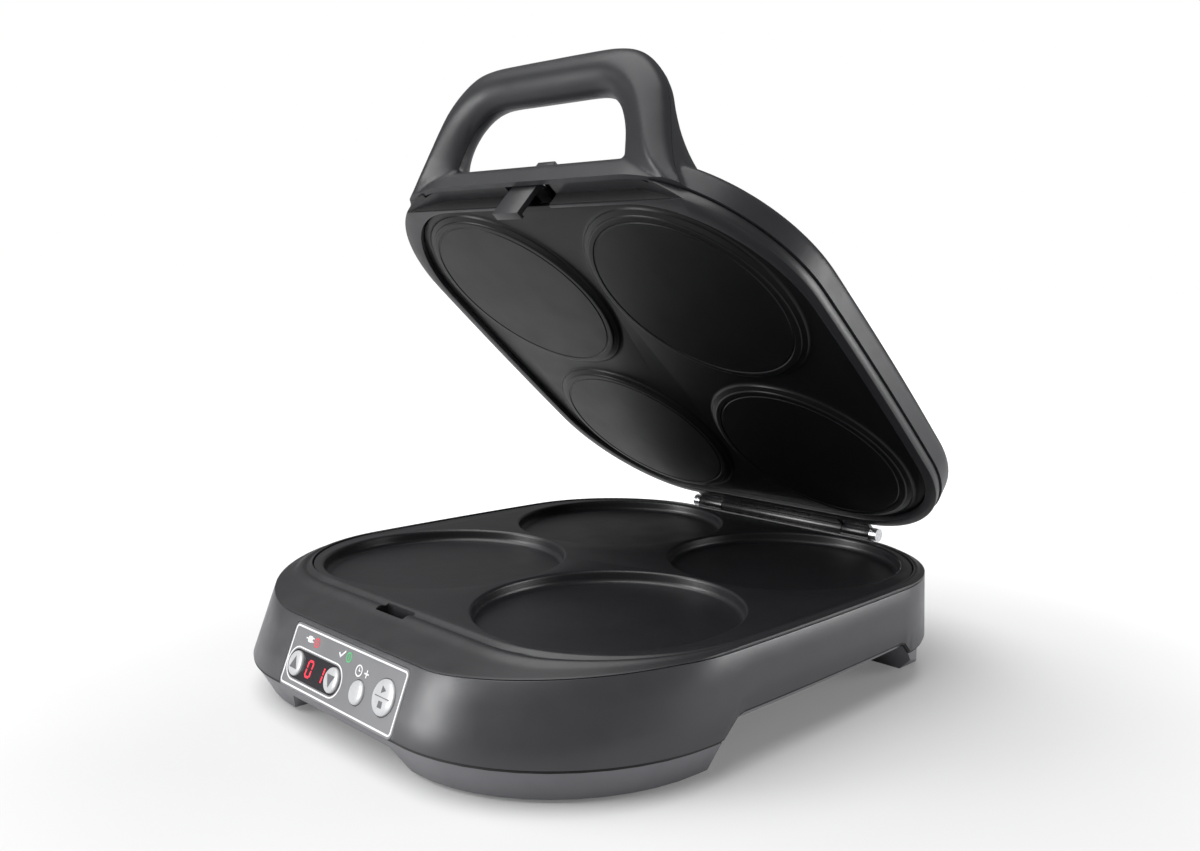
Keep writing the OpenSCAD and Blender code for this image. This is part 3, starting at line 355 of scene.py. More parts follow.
def make_black_card():
    """Card lying on the floor below the camera: it darkens the corner that faces the camera."""
    bpy.ops.mesh.primitive_plane_add(size=CARD_SIZE)
    card = bpy.context.object
    card.name = "black_card"
    card.location = (CARD_REACH * math.sin(CAMERA_AZIMUTH), -CARD_REACH * math.cos(CAMERA_AZIMUTH), 0.001)
    card.rotation_euler = (0, 0, CAMERA_AZIMUTH)
    card.visible_camera = False
    card.visible_shadow = False
    card.visible_diffuse = False
    s = Shader("black_card")
    tones = [(0.010, 0.010, 0.010, 1), (0.014, 0.014, 0.014, 1)]
    s.join(s.ramp(s.noise(8, 2), tones), s.bsdf.inputs["Base Color"])
    card.data.materials.append(s.material)


def make_studio():
    bpy.context.scene.view_settings.view_transform = "Standard"
    make_world()
    make_floor()
    make_black_card()
    sunlight(power=3.2, softness=70, tilt=(math.radians(18), math.radians(-12), 0))
    softbox("front_left", (-0.95, -1.5, 0.42), size=(0.6, 0.75), power=17)
    softbox("right_rear", (1.7, 1.5, 0.40), size=(1.1, 0.8), power=25)
    softbox("grip", (0.1, -1.3, 1.3), size=(0.9, 0.4), power=1.5, aim=(0, -0.05, 0.25))


make_camera()
make_studio()

# ---------------------------------------------------------------- mesh helpers

HINGE = Vector(JOINTS["lid_hinge"]["pos_m"])
LID_UP = -Vector(JOINTS["release_press"]["axis"])
PANEL_OUT = -Vector(JOINTS["start_button_press"]["axis"])
LID_OPEN = math.atan2(-LID_UP.y, LID_UP.z)
LID_TURN = Matrix.Translation(HINGE) @ Matrix.Rotation(LID_OPEN, 4, "X") @ Matrix.Translation(-HINGE)


def add_piece(name, mesh_data, slot, body, replaces=(), turn=None, material=None):
    """Link a mesh as a piece of the object, with its material, body and the CAD nodes it stands for."""
    if turn is not None:
        mesh_data = turned(mesh_data, turn)
    piece = bpy.data.objects.new(name, mesh_data)
    bpy.context.scene.collection.objects.link(piece)
    mesh_data.materials.clear()
    mesh_data.materials.append(material or MATERIALS[slot])
    smooth(mesh_data)
    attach(piece, body)
    if replaces:
        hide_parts(*replaces)
    return piece


def smooth(mesh_data, angle=math.radians(28)):
    mesh_data.shade_smooth()
    mesh_data.set_sharp_from_angle(angle=angle)


def turned(mesh_data, matrix):
    """The mesh moved by a matrix, with its faces still looking outward."""
    mesh_data.transform(matrix)
    if matrix.determinant() < 0:
        mesh_data.flip_normals()
    return mesh_data


def mesh_from(points, faces):
    data = bpy.data.meshes.new("mesh")
    data.from_pydata([tuple(p) for p in points], [], faces)
    bm = bmesh.new()
    bm.from_mesh(data)
    bmesh.ops.remove_doubles(bm, verts=bm.verts, dist=0.002 * MM)
    bmesh.ops.recalc_face_normals(bm, faces=bm.faces)
    bm.to_mesh(data)
    bm.free()
    return data


def loop_solid(sections):
    """Ring-shaped solid: every section is a closed loop of points, and the last joins the first."""
    n, m = len(sections), len(sections[0])
    faces = [
        (i * m + j, ((i + 1) % n) * m + j, ((i + 1) % n) * m + (j + 1) % m, i * m + (j + 1) % m)
        for i in range(n)
        for j in range(m)
    ]
    return mesh_from([p for section in sections for p in section], faces)


def stack_solid(rings):
    """Solid through a stack of closed rings, capped at both ends."""
    n, m = len(rings), len(rings[0])
    faces = [
        (i * m + j, i * m + (j + 1) % m, (i + 1) * m + (j + 1) % m, (i + 1) * m + j)
        for i in range(n - 1)
        for j in range(m)
    ]
    faces.append(tuple(range(m)))
    faces.append(tuple((n - 1) * m + j for j in range(m)))
    return mesh_from([p for ring in rings for p in ring], faces)


def evaluated(piece):
    """The piece's mesh with its modifiers applied, as new data."""
    graph = bpy.context.evaluated_depsgraph_get()
    return bpy.data.meshes.new_from_object(piece.evaluated_get(graph))


def worked(mesh_data, *steps):
    """Apply modifiers, given as (type, settings), to a mesh and return the result."""
    piece = bpy.data.objects.new("work", mesh_data)
    bpy.context.scene.collection.objects.link(piece)
    for kind, settings in steps:
        modifier = piece.modifiers.new(kind, kind)
        for key, value in settings.items():
            setattr(modifier, key, value)
    result = evaluated(piece)
    bpy.data.objects.remove(piece)
    return result


def boolean(mesh_data, tool_data, operation="DIFFERENCE"):
    tool = bpy.data.objects.new("tool", tool_data)
    bpy.context.scene.collection.objects.link(tool)
    result = worked(
        mesh_data,
        ("BOOLEAN", {"operation": operation, "object": tool, "solver": "MANIFOLD"}),
    )
    bpy.data.objects.remove(tool)
    return result


def box_mesh(low, high):
    x, y, z = zip(low, high)
    points = [(x[i], y[j], z[k]) for k in (0, 1) for i, j in ((0, 0), (1, 0), (1, 1), (0, 1))]
    return stack_solid([points[:4], points[4:]])


def joined(*meshes):
    bm = bmesh.new()
    for data in meshes:
        bm.from_mesh(data)
    merged = bpy.data.meshes.new("mesh")
    bm.to_mesh(merged)
    bm.free()
    return merged


# ---------------------------------------------------------------- outlines

CORNER_STEPS = 40
SIDE_STEPS = 44
FRONT_STEPS = 14
SIDE_BULGE = 0.035


def bowed_box(half_w, y0, y1, front_r, rear_r):
    """Rounded outline, symmetric about X = 0, whose long sides bow outward. Starts at the front centre."""
    half = [(t / FRONT_STEPS * (half_w - front_r), y0) for t in range(FRONT_STEPS)]
    for t in range(CORNER_STEPS):
        a = math.pi / 2 * t / CORNER_STEPS
        half.append((half_w - front_r + front_r * math.sin(a), y0 + front_r * (1 - math.cos(a))))
    for t in range(SIDE_STEPS):
        half.append((half_w, y0 + front_r + (y1 - rear_r - y0 - front_r) * t / SIDE_STEPS))
    for t in range(CORNER_STEPS):
        a = math.pi / 2 * t / CORNER_STEPS
        half.append((half_w - rear_r + rear_r * math.cos(a), y1 - rear_r * (1 - math.sin(a))))
    half += [((1 - t / FRONT_STEPS) * (half_w - rear_r), y1) for t in range(FRONT_STEPS + 1)]
    middle, reach = (y0 + y1) / 2, (y1 - y0) / 2
    half = [(x * (1 - SIDE_BULGE * ((y - middle) / reach) ** 2), y) for x, y in half]
    return half + [(-x, y) for x, y in reversed(half[1:-1])]


PLATE_LOW, PLATE_HIGH = (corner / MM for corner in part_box("lower_plate"))
RIM_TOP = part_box("top_bezel")[1].z / MM
PLATE_HALF = 124.0
PLATE_R = (62, 64)
BASE_R = (80, 66)
SIDE_LEAN = math.tan(math.radians(2))
FRONT_LEAN = PANEL_OUT.z / -PANEL_OUT.y
FOOT_Z = 15.0
BASE_HALF = 129.0
BASE_Y = (-142.3, 133.0)
BASE_H = 50.0
ARCH_Z = 23
REAR_FOOT_Z = 17
WALL = 2.5
SEAM_GAP = 0.7


def plate_ring(grow):
    return bowed_box(
        PLATE_HALF + grow, PLATE_LOW.y - grow, PLATE_HIGH.y + grow, PLATE_R[0] + grow, PLATE_R[1] + grow
    )


def base_ring(z):
    """Outline of the base's leaning outer wall at the height z."""
    side = (z - FOOT_Z) * SIDE_LEAN
    front = (z - FOOT_Z) * FRONT_LEAN
    front_r, rear_r = (r - side for r in BASE_R)
    return bowed_box(BASE_HALF - side, BASE_Y[0] + front, BASE_Y[1] - side, front_r, rear_r)


def to_metres(points):
    return [Vector(p) * MM for p in points]


# ---------------------------------------------------------------- base: side wall and deck

DECK_SLOPE = 0.35
# Waves on the deck's slope: height, distance from the plate and width, at full size
GUTTER = (-0.9, 2.6, 1.3)
CREST = (0.75, 6.0, 2.2)
FULL_REACH = 16
LEDGE_IN = 3.5
LEDGE_Z = (44.5, 47.15)
BAND = 2.6
PLATE_EDGE = [Vector(p) for p in plate_ring(0.5)]


def distance_to_plate(x, y):
    """Distance outside the plate's edge, and the nearest point of that edge."""
    p = Vector((x, y))
    best, near = 1e9, None
    for i, a in enumerate(PLATE_EDGE):
        b = PLATE_EDGE[(i + 1) % len(PLATE_EDGE)]
        span = b - a
        if span.length < 1e-6:
            continue
        t = max(0.0, min(1.0, (p - a).dot(span) / span.length_squared))
        q = a + span * t
        if (p - q).length < best:
            best, near = (p - q).length, q
    return best, near


LOW_RING = base_ring(FOOT_Z)
HIGH_RING = base_ring(BASE_H)
COUNT = len(LOW_RING)


def wall_point(i, z, inset=0.0):
    """Point of the leaning outer wall at outline index i and height z, moved inward by inset."""
    t = (z - FOOT_Z) / (BASE_H - FOOT_Z)
    low, high = Vector(LOW_RING[i]), Vector(HIGH_RING[i])
    p = low.lerp(high, t)
    if inset:
        along = Vector(LOW_RING[(i + 1) % COUNT]) - Vector(LOW_RING[i - 1])
        p = p + Vector((-along.y, along.x)).normalized() * inset
    return Vector((p.x, p.y, z))


def find_edges():
    """Where the deck meets the wall, at every outline index: height, distance and nearest plate point."""
    first_guess, rounds = 46.0, 5
    edges = []
    for i in range(COUNT):
        z = first_guess
        for _ in range(rounds):
            p = wall_point(i, z)
            d, near = distance_to_plate(p.x, p.y)
            z = RIM_TOP - DECK_SLOPE * d
        edges.append((z, d, near))
    return edges


EDGES = find_edges()
SEAM = [min(z - 0.2, RIM_TOP - BAND) for z, _, _ in EDGES]


def bottom_height(y):
    """Lower edge of the side wall: front foot, step up to the arch, and down to the rear foot."""
    front, middle = [(-200, FOOT_Z), (-57, FOOT_Z)], [(-50, ARCH_Z), (66, ARCH_Z)]
    stops = front + middle + [(72, REAR_FOOT_Z), (200, REAR_FOOT_Z)]
    for (y0, z0), (y1, z1) in zip(stops, stops[1:]):
        if y0 <= y <= y1:
            return z0 + (z1 - z0) * (y - y0) / (y1 - y0)


def deck_point(i, d, z):
    """Point above the line from the plate's edge out to the wall, d from the plate."""
    top, _, near = EDGES[i]
    edge = wall_point(i, top)
    direction = Vector((edge.x - near.x, edge.y - near.y)).normalized()
    p = near + direction * d
    return Vector((p.x, p.y, z))


def deck_height(i, d):
    """Deck profile: lip at the plate, a shallow gutter, a soft crest, then the straight slope."""
    size = min(1.0, EDGES[i][1] / FULL_REACH)
    waves = sum(
        height * math.exp(-(((d - place * size) / (width * size)) ** 2))
        for height, place, width in (GUTTER, CREST)
    )
    return RIM_TOP - DECK_SLOPE * d + waves * size


def rim_section(i):
    """Section of the deck: outer band, rounded edge, slope, lip at the plate, and the ledge under it."""
    top, reach, _ = EDGES[i]
    seam = SEAM[i] + 0.1
    edge_r = min(0.7, reach * 0.3)
    outer = [wall_point(i, seam, 0.25), wall_point(i, seam + 0.15)]
    if top - seam > 1.0:
        outer += [wall_point(i, seam + (top - seam) * 0.5), wall_point(i, top - edge_r)]
    else:
        outer += [wall_point(i, seam + (top - seam) * 0.3), wall_point(i, seam + (top - seam) * 0.6)]
    outer.append(wall_point(i, top - 0.12 * edge_r, 0.12 * edge_r))
    lip_r = 0.4
    steps = 26
    span = reach - edge_r - lip_r
    for k in range(steps + 1):
        d = reach - edge_r - span * k / steps
        outer.append(deck_point(i, d, deck_height(i, d)))
    lip = RIM_TOP - 0.05
    outer.append(deck_point(i, 0.1, lip - 0.1))
    outer.append(deck_point(i, 0, lip - 0.4))
    low, high = LEDGE_Z
    under = min(low, top - 2.6)
    ledge = ((0, high), (-LEDGE_IN, high - 0.05), (-LEDGE_IN, low + 0.1), (0, low))
    outer += [deck_point(i, d, z) for d, z in ledge]
    for part in (0.3, 0.6, 0.85):
        d = reach * part
        outer.append(deck_point(i, d, min(low - 0.1, deck_height(i, d) - 2.4)))
    outer.append(wall_point(i, min(seam, under), WALL + 0.2))
    outer.append(wall_point(i, min(seam, top - 1.0), 1.2))
    return to_metres(outer)


def wall_section(i):
    """Section of the side wall, with small radii at its lower and upper outer edge."""
    base = bottom_height(wall_point(i, FOOT_Z).y) + SEAM_GAP
    seam = SEAM[i] - 0.1
    r = 0.35
    return to_metres(
        [
            wall_point(i, base, WALL),
            wall_point(i, base, r),
            wall_point(i, base + 0.3 * r, 0.3 * r),
            wall_point(i, base + r),
            wall_point(i, base + (seam - base) / 3),
            wall_point(i, base + (seam - base) * 2 / 3),
            wall_point(i, seam - r),
            wall_point(i, seam - 0.3 * r, 0.3 * r),
            wall_point(i, seam, r),
            wall_point(i, seam, WALL),
        ]
    )


def seam_shade_section(i):
    """Strip of painted shade: a near-black sheet in the groove between the side wall and the bottom cover.
    """
    base = bottom_height(wall_point(i, FOOT_Z).y)
    return to_metres(
        [
            wall_point(i, base - 0.15, WALL - 0.4),
            wall_point(i, base - 0.15, 0.55),
            wall_point(i, base + SEAM_GAP * 0.5, 0.5),
            wall_point(i, base + SEAM_GAP + 0.2, 0.55),
            wall_point(i, base + SEAM_GAP + 0.2, WALL - 0.4),
        ]
    )


PANEL_W, PANEL_H, PANEL_R = 84.0, 26.0, 2.5
PANEL_Z = 39.5
PANEL_MIDDLE = (0, PANEL_H / 2)
PANEL_RIGHT = Vector((1, 0, 0))
PANEL_DOWN = PANEL_RIGHT.cross(PANEL_OUT)
PANEL_TOP = Vector((0, BASE_Y[0] + (PANEL_Z - FOOT_Z) * FRONT_LEAN, PANEL_Z)) * MM
PANEL_TURN = Matrix.Translation(PANEL_TOP) @ Matrix(
    (PANEL_RIGHT, PANEL_DOWN, PANEL_OUT)
).transposed().to_4x4()


def rounded_outline(w, h, r, steps=8):
    """Rectangle with rounded corners, centred."""
    points = []
    for sx, sy, start in ((1, 1, 0), (-1, 1, 90), (-1, -1, 180), (1, -1, 270)):
        for k in range(steps + 1):
            a = math.radians(start + 90 * k / steps)
            points.append((sx * (w / 2 - r) + r * math.cos(a), sy * (h / 2 - r) + r * math.sin(a)))
    return points


def ring_at(shape, z):
    return [Vector((x, y, z)) * MM for x, y in shape]


def moved(outline, at):
    return [(x + at[0], y + at[1]) for x, y in outline]


def prism(outline, z0, z1, at=(0, 0)):
    """Prism over an outline given in millimetres."""
    return stack_solid([ring_at(moved(outline, at), z) for z in (z0, z1)])


def on_panel(data):
    """A mesh drawn in the panel's own axes (right, down, out), brought onto the base."""
    return turned(data, PANEL_TURN)


def panel_cutter():
    recess, play = 1.0, 0.2
    outline = rounded_outline(PANEL_W + 2 * play, PANEL_H + 2 * play, PANEL_R)
    return on_panel(prism(outline, -recess, 3.0, PANEL_MIDDLE))


GLAND_AT = Vector((62, BASE_Y[1], 32)) * MM
GLAND_HOLE = 12.2
SLOT_AT = (0, -113)
SLOT_SIZE = (20, 6.2)


def make_base():
    """Side wall, a strip of painted shade in the groove under it, and the deck round the plate."""
    wall = boolean(loop_solid([wall_section(i) for i in range(COUNT)]), panel_cutter())
    gland = prism(rounded_outline(GLAND_HOLE, GLAND_HOLE, GLAND_HOLE / 2 - 0.01), -20, 20)
    gland.transform(Matrix.Translation(GLAND_AT) @ Matrix.Rotation(math.pi / 2, 4, "X"))
    wall = boolean(wall, gland)
    add_piece("base_side_wall", wall, "housing", "base", ["base_housing"])
    # Near-black strip inside the groove: painted shade
    groove = loop_solid([seam_shade_section(i) for i in range(COUNT)])
    add_piece("base_seam_painted_shade", groove, "housing", "base", material=PAINTED_SEAM_SHADE)
    rim = loop_solid([rim_section(i) for i in range(COUNT)])
    rim = boolean(rim, prism(rounded_outline(*SLOT_SIZE, 0.8), 30, 60, SLOT_AT))
    add_piece("base_deck", boolean(rim, panel_cutter()), "deck", "base", ["top_bezel"])


make_base()

# ---------------------------------------------------------------- lid shell and handle, drawn closed

LID_BOTTOM = 50.6
SEAM_Z = 55.6
LID_TOP = 67.1
LID_HALF = 128.0
LID_Y = (-117.5, 129.5)
LID_R = 66.0
CROWN = 6.0
CROWN_REACH = 60
VOXEL = 1.05 * MM
SMOOTHING = 7


def lid_ring(inset, z):
    """The lid's outline moved inward. Where the corners would vanish it shrinks towards the middle."""
    whole = min(inset, LID_R - 8)
    shape = bowed_box(LID_HALF - whole, LID_Y[0] + whole, LID_Y[1] - whole, LID_R - whole, LID_R - whole)
    middle = (LID_Y[0] + LID_Y[1]) / 2
    keep = 1 - (inset - whole) / CROWN_REACH
    return [Vector((x * keep, middle + (y - middle) * keep, z)) * MM for x, y in shape]


def crown_height(inset):
    """Height of the crowned top above the wall, from the shoulder to the middle."""
    t = min(1.0, max(0.0, (inset - 2.5) / CROWN_REACH))
    return CROWN * (1 - (1 - t) ** 2.2)


def lid_solid(inset, z0):
    """The lid's outer form moved inward by inset, from the height z0 up."""
    r = 3.4
    rings = [lid_ring(inset, z0), lid_ring(inset + 0.02, (z0 + LID_TOP - r) / 2)]
    for k in range(9):
        a = math.pi / 2 * k / 8
        rings.append(lid_ring(inset + r * (1 - math.cos(a)), LID_TOP - inset - r * (1 - math.sin(a))))
    for out in (5, 8, 12, 17, 23, 30, 38, 46, 54, 62, 75, 95, 112):
        rings.append(lid_ring(inset + out, LID_TOP - inset + crown_height(out)))
    return stack_solid(rings)


HANDLE_LEAN = math.radians(24)
HANDLE_TURN = Matrix.Translation(Vector((0, -115.5, LID_TOP - 1)) * MM) @ Matrix.Rotation(
    math.pi / 2 + HANDLE_LEAN, 4, "X"
)

# Stations from the foot of a leg to the middle of the grip: inner edge, outer edge (x, up), depth to the
# front, depth to the rear at the inner and outer edge, place of the front ridge from inner -1 to outer 1,
# and how angular the section is
STATIONS = [
    ((66, -15), (94, -16), 1.0, 6, 34, 0.55, 1.0),
    ((61, -8), (90, -10), 4.0, 7, 37, 0.50, 1.0),
    ((57.5, -2), (85.5, -4), 6.5, 7.5, 33, 0.42, 0.95),
    ((56, 4), (81.6, 4), 7.6, 7.5, 21, 0.34, 0.85),
    ((54.8, 10), (78.6, 12), 8.0, 7.5, 13, 0.26, 0.7),
    ((52.6, 16), (75.6, 20.5), 8.2, 7.8, 8.6, 0.18, 0.5),
    ((48.6, 22.2), (71, 30.2), 8.4, 8.2, 8.2, 0.1, 0.3),
    ((42.4, 27), (63.4, 39), 8.6, 8.6, 8.6, 0.05, 0.15),
    ((34.6, 29.2), (53.4, 46), 8.7, 8.8, 8.8, 0.0, 0.05),
    ((26, 29.7), (41, 48.8), 8.7, 8.8, 8.8, 0.0, 0.0),
    ((13, 29.7), (20, 49.3), 8.7, 8.8, 8.8, 0.0, 0.0),
    ((0, 29.7), (0, 49.3), 8.7, 8.8, 8.8, 0.0, 0.0),
]
STATION_STEPS = 7
SECTION_STEPS = 20


def flat(station):
    """A station as one list of numbers."""
    inner, outer, *rest = station
    return [*inner, *outer, *rest]


def smooth_path(rows, steps):
    """Catmull-Rom curve through rows of numbers."""
    out = []
    last = len(rows) - 1
    for i in range(last):
        before, a, b, after = rows[max(i - 1, 0)], rows[i], rows[i + 1], rows[min(i + 2, last)]
        for k in range(steps):
            t = k / steps
            out.append(
                [
                    q + 0.5 * t * (r - p + t * (2 * p - 5 * q + 4 * r - w + t * (3 * q - p - 3 * r + w)))
                    for p, q, r, w in zip(before, a, b, after)
                ]
            )
    return out + [rows[-1]]


def front_profile(s, ridge, angular):
    """Depth of the front from the inner edge (s = -1) to the outer (1): round, or rising to a ridge."""
    rounded = math.sqrt(max(0.0, 1 - s * s))
    up, down = (s + 1) / (ridge + 1), (1 - s) / (1 - ridge)
    blunt = 0.09
    least = 0.5 * (up + down - math.sqrt((up - down) ** 2 + blunt * blunt))
    edge = min(1.0, (1 - abs(s)) / 0.08)
    peaked = max(0.0, least) ** 0.8 * 0.86 + 0.14 * math.sqrt(max(0.0, edge))
    return rounded * (1 - angular) + peaked * angular


def handle_section(row, mirror=1):
    """Closed section of the handle at one station: shaped front, then the super-elliptic rear."""
    xi, ui, xo, uo, front, rear_in, rear_out, ridge, angular = row
    points = []
    for k in range(SECTION_STEPS + 1):
        s = -math.cos(math.pi * k / SECTION_STEPS)
        f = (s + 1) / 2
        points.append((xi + (xo - xi) * f, ui + (uo - ui) * f, front * front_profile(s, ridge, angular)))
    for k in range(1, SECTION_STEPS):
        s = math.cos(math.pi * k / SECTION_STEPS)
        f = (s + 1) / 2
        depth = rear_in + (rear_out - rear_in) * f
        power = 2 + 1.2 * angular
        points.append(
            (xi + (xo - xi) * f, ui + (uo - ui) * f, -depth * max(0.0, 1 - abs(s) ** power) ** (1 / power))
        )
    return [Vector((mirror * x, u, n)) * MM for x, u, n in points]


def handle_solid():
    """One leg from its foot to the middle of the grip, and its mirror."""
    rows = smooth_path([flat(station) for station in STATIONS], STATION_STEPS)
    rings = [handle_section(row) for row in rows]
    rings += [handle_section(row, -1) for row in reversed(rows[:-1])]
    data = stack_solid(rings)
    data.transform(HANDLE_TURN)
    return data


def blended(mesh_data):
    """Overlapping forms fused into one skin, with their junctions smoothed."""
    return worked(
        mesh_data,
        ("REMESH", {"mode": "VOXEL", "voxel_size": VOXEL, "use_smooth_shade": True}),
        ("SMOOTH", {"factor": 0.5, "iterations": SMOOTHING}),
    )


def make_lid():
    """Shell and handle fused, hollowed, and parted along the handle's middle plane."""
    below = box_mesh((-0.2, -0.2, 0.0), (0.2, 0.2, SEAM_Z * MM))
    whole = blended(joined(lid_solid(0, SEAM_Z - 3), handle_solid()))
    whole = boolean(whole, below)
    whole = boolean(whole, lid_solid(WALL, SEAM_Z - 6))
    parting = 0.1 * MM
    front_half = box_mesh((-0.2, -0.02, parting), (0.2, 0.2, 0.2))
    rear_half = box_mesh((-0.2, -0.02, -parting), (0.2, 0.2, 0.2))
    for half in (front_half, rear_half):
        half.transform(HANDLE_TURN)
    shell = boolean(whole.copy(), rear_half)
    front = boolean(whole, front_half, "INTERSECT")
    add_piece("lid_shell", shell, "housing", "lid", ["lid_housing"], LID_TURN, SHADED_LID_CHARCOAL)
    add_piece("handle_grip", front, "housing", "lid", ["handle_front"], LID_TURN, SHADED_LID_CHARCOAL)


make_lid()

# ---------------------------------------------------------------- cooking plates and lid bezel

WELL_PITCH = 115.0
WELL_AT = [(sx * WELL_PITCH / 2, 9 + sy * WELL_PITCH / 2) for sx in (-1, 1) for sy in (-1, 1)]
PLATE_TOP = PLATE_HIGH.z
PLATE_T = 2.2
WELL_R = 56.0
WELL_FLOOR = PLATE_TOP - 6
FLOOR_R, RIM_R = 2.4, 1.4
UPPER_Z = LID_BOTTOM + 2.2
TURN_STEPS = 128


def arc(at, r, start, end, steps=6):
    """Points of an arc about a centre, both ends included, angles in degrees."""
    angles = [math.radians(start + (end - start) * k / steps) for k in range(steps + 1)]
    return [(at[0] + r * math.cos(a), at[1] + r * math.sin(a)) for a in angles]


def circle(d, at=(0, 0), steps=48):
    return arc(at, d / 2, 0, 360, steps)[:-1]


def lathe(profile, at=(0, 0)):
    """Solid of revolution about a vertical axis, from (radius, height) pairs, bottom to top."""
    return stack_solid([ring_at(circle(2 * r, at, TURN_STEPS), z) for r, z in profile])


def slab(grow, z0, z1, edge=0.6):
    """Sheet with rounded edges over the plate's outline."""
    rings = [(grow - edge, z0), (grow - 0.3 * edge, z0 + 0.3 * edge), (grow, z0 + edge)]
    rings += [(grow, z1 - edge), (grow - 0.3 * edge, z1 - 0.3 * edge), (grow - edge, z1)]
    return stack_solid([ring_at(plate_ring(g), z) for g, z in rings])


def make_lower_plate():
    """Sheet with four cups sunk into it, their rims and floors rounded."""
    plate = slab(0, PLATE_TOP - PLATE_T, PLATE_TOP)
    cups = None
    for at in WELL_AT:
        outside = [(0.8, WELL_FLOOR - 2.4), (3.2, WELL_FLOOR), (3.4, PLATE_TOP - 1)]
        cup = lathe([(WELL_R + out, z) for out, z in outside], at)
        cups = cup if cups is None else boolean(cups, cup, "UNION")
    cups = boolean(cups, prism(plate_ring(-0.1), 30, PLATE_TOP - 0.5), "INTERSECT")
    plate = boolean(plate, cups, "UNION")
    for at in WELL_AT:
        floor_arc = arc((WELL_R - FLOOR_R, WELL_FLOOR + FLOOR_R), FLOOR_R, -90, 0)
        rim_arc = arc((WELL_R + RIM_R, PLATE_TOP - RIM_R), RIM_R, 180, 90)
        hollow = [(30, WELL_FLOOR), *floor_arc, *rim_arc, (WELL_R + 1.5, PLATE_TOP + 2)]
        plate = boolean(plate, lathe(hollow, at))
    add_piece("lower_cooking_plate", plate, "nonstick", "base", ["lower_plate"])


def make_upper_plate():
    """Sheet with four raised discs, each with a fine groove near its edge."""
    plate = slab(-2.5, UPPER_Z, UPPER_Z + PLATE_T)
    bottom = UPPER_Z - 2.8
    for at in WELL_AT:
        crest = arc((50.6, bottom + 1.3), 1.3, -90, -28)
        root = arc((WELL_R, UPPER_Z - 2.3), 2.3, 152, 90)
        groove = [(47.6, bottom), (48.0, bottom + 0.35), (48.5, bottom + 0.35), (48.9, bottom)]
        disc = lathe([(20, bottom), *groove, *crest, *root, (WELL_R, UPPER_Z + 0.3)], at)
        plate = boolean(plate, disc, "UNION")
    add_piece("upper_cooking_plate", plate, "nonstick", "lid", ["upper_plate"], LID_TURN, SHADED_LID_COATING)


FLANGE_Z = (57.3, 59.3)
GAP_BACK = -107.5
GAP_HALF = (94.0, 66.0)
LATCH_BAY = (15.0, -98.8)


def upright_prism(outline, y0, y1):
    """Prism along Y over an outline in X and Z, given in millimetres."""
    return stack_solid([[Vector((x, y, z)) * MM for x, z in outline] for y in (y0, y1)])


def make_lid_bezel():
    """Rim ring with its inner flange; a gap under the handle tapers to both ends, with sheets of painted
    shade behind it.
    """
    low, high = LID_BOTTOM, SEAM_Z - 0.5
    under, over = FLANGE_Z
    outside = [(1.3, low), (0.95, low + 0.15), (0.8, low + 0.5)]
    outside += [(0.8, high - 0.5), (0.95, high - 0.15), (1.3, high), (3.2, high), (3.2, over)]
    inside = [(-12, over), (-12, under), (-2.1, under)]
    inside += [(-2.1, low + 0.5), (-1.95, low + 0.15), (-1.6, low)]
    rows = [lid_ring(inset, z) for inset, z in outside]
    rows += [ring_at(plate_ring(grow), z) for grow, z in inside]
    ring = loop_solid([[row[i] for row in rows] for i in range(len(rows[0]))])
    wide, narrow = GAP_HALF
    wedge = [(-wide, low - 2), (wide, low - 2), (wide, low)]
    wedge += [(narrow, under), (-narrow, under), (-wide, low)]
    front_gap = upright_prism(wedge, -200, GAP_BACK)
    bay_half, bay_back = (value * MM for value in LATCH_BAY)
    latch_bay = box_mesh((-bay_half, -0.2, 0.0), (bay_half, bay_back, 0.2))
    ring = boolean(boolean(ring, front_gap), latch_bay)
    add_piece("lid_rim", ring, "deck", "lid", ["lid_bezel"], LID_TURN, RIM_BLACK_AND_HOOK_SHADE)
    # Near-black sheets behind the gap: painted shade standing in for the dark recess
    start = LATCH_BAY[0] + 0.2
    outline = [(start, low + 0.5), (wide - 8, low + 0.5), (narrow - 2, under - 0.1), (start, under - 0.1)]
    shade_sheets = [
        upright_prism([(side * x, z) for x, z in outline], GAP_BACK - 0.4, GAP_BACK) for side in (-1, 1)
    ]
    add_piece("lid_gap_painted_shade", joined(*shade_sheets), "deck", "lid", turn=LID_TURN, material=PAINTED_SEAM_SHADE)


make_lower_plate()
make_upper_plate()
make_lid_bezel()

# ---------------------------------------------------------------- small moulded and metal parts


def softened(node, width, material=None, angle=30):
    """Copy of a CAD node with its edges rounded off by width."""
    bm = bmesh.new()
    bm.from_mesh(NODES[node].data)
    bmesh.ops.remove_doubles(bm, verts=bm.verts, dist=0.003 * MM)
    bmesh.ops.dissolve_limit(bm, angle_limit=math.radians(1), verts=bm.verts, edges=bm.edges)
    sharp = [e for e in bm.edges if e.is_manifold and e.calc_face_angle(0) > math.radians(angle)]
    bmesh.ops.bevel(
        bm, geom=sharp, offset=width, segments=2, profile=0.6, affect="EDGES", clamp_overlap=True
    )
    data = bpy.data.meshes.new(node)
    bm.to_mesh(data)
    bm.free()
    body = NODES[node]["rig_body"]
    return add_piece(node + "_rounded", data, SLOT_OF[node], body, [node], material=material)


for node, width in (
    ("bottom_cover", 0.5), ("rubber_feet", 0.6), ("release_button", 0.7),
    ("hinge_base_leaf", 0.2), ("hinge_lid_brackets", 0.2), ("cord_gland", 0.4),
):
    softened(node, width * MM)
# The latch hook takes the rim's near-black in place of its own plastic: painted shade on the hook
softened("latch_hook", 0.35 * MM, RIM_BLACK_AND_HOOK_SHADE)

# ---------------------------------------------------------------- control panel

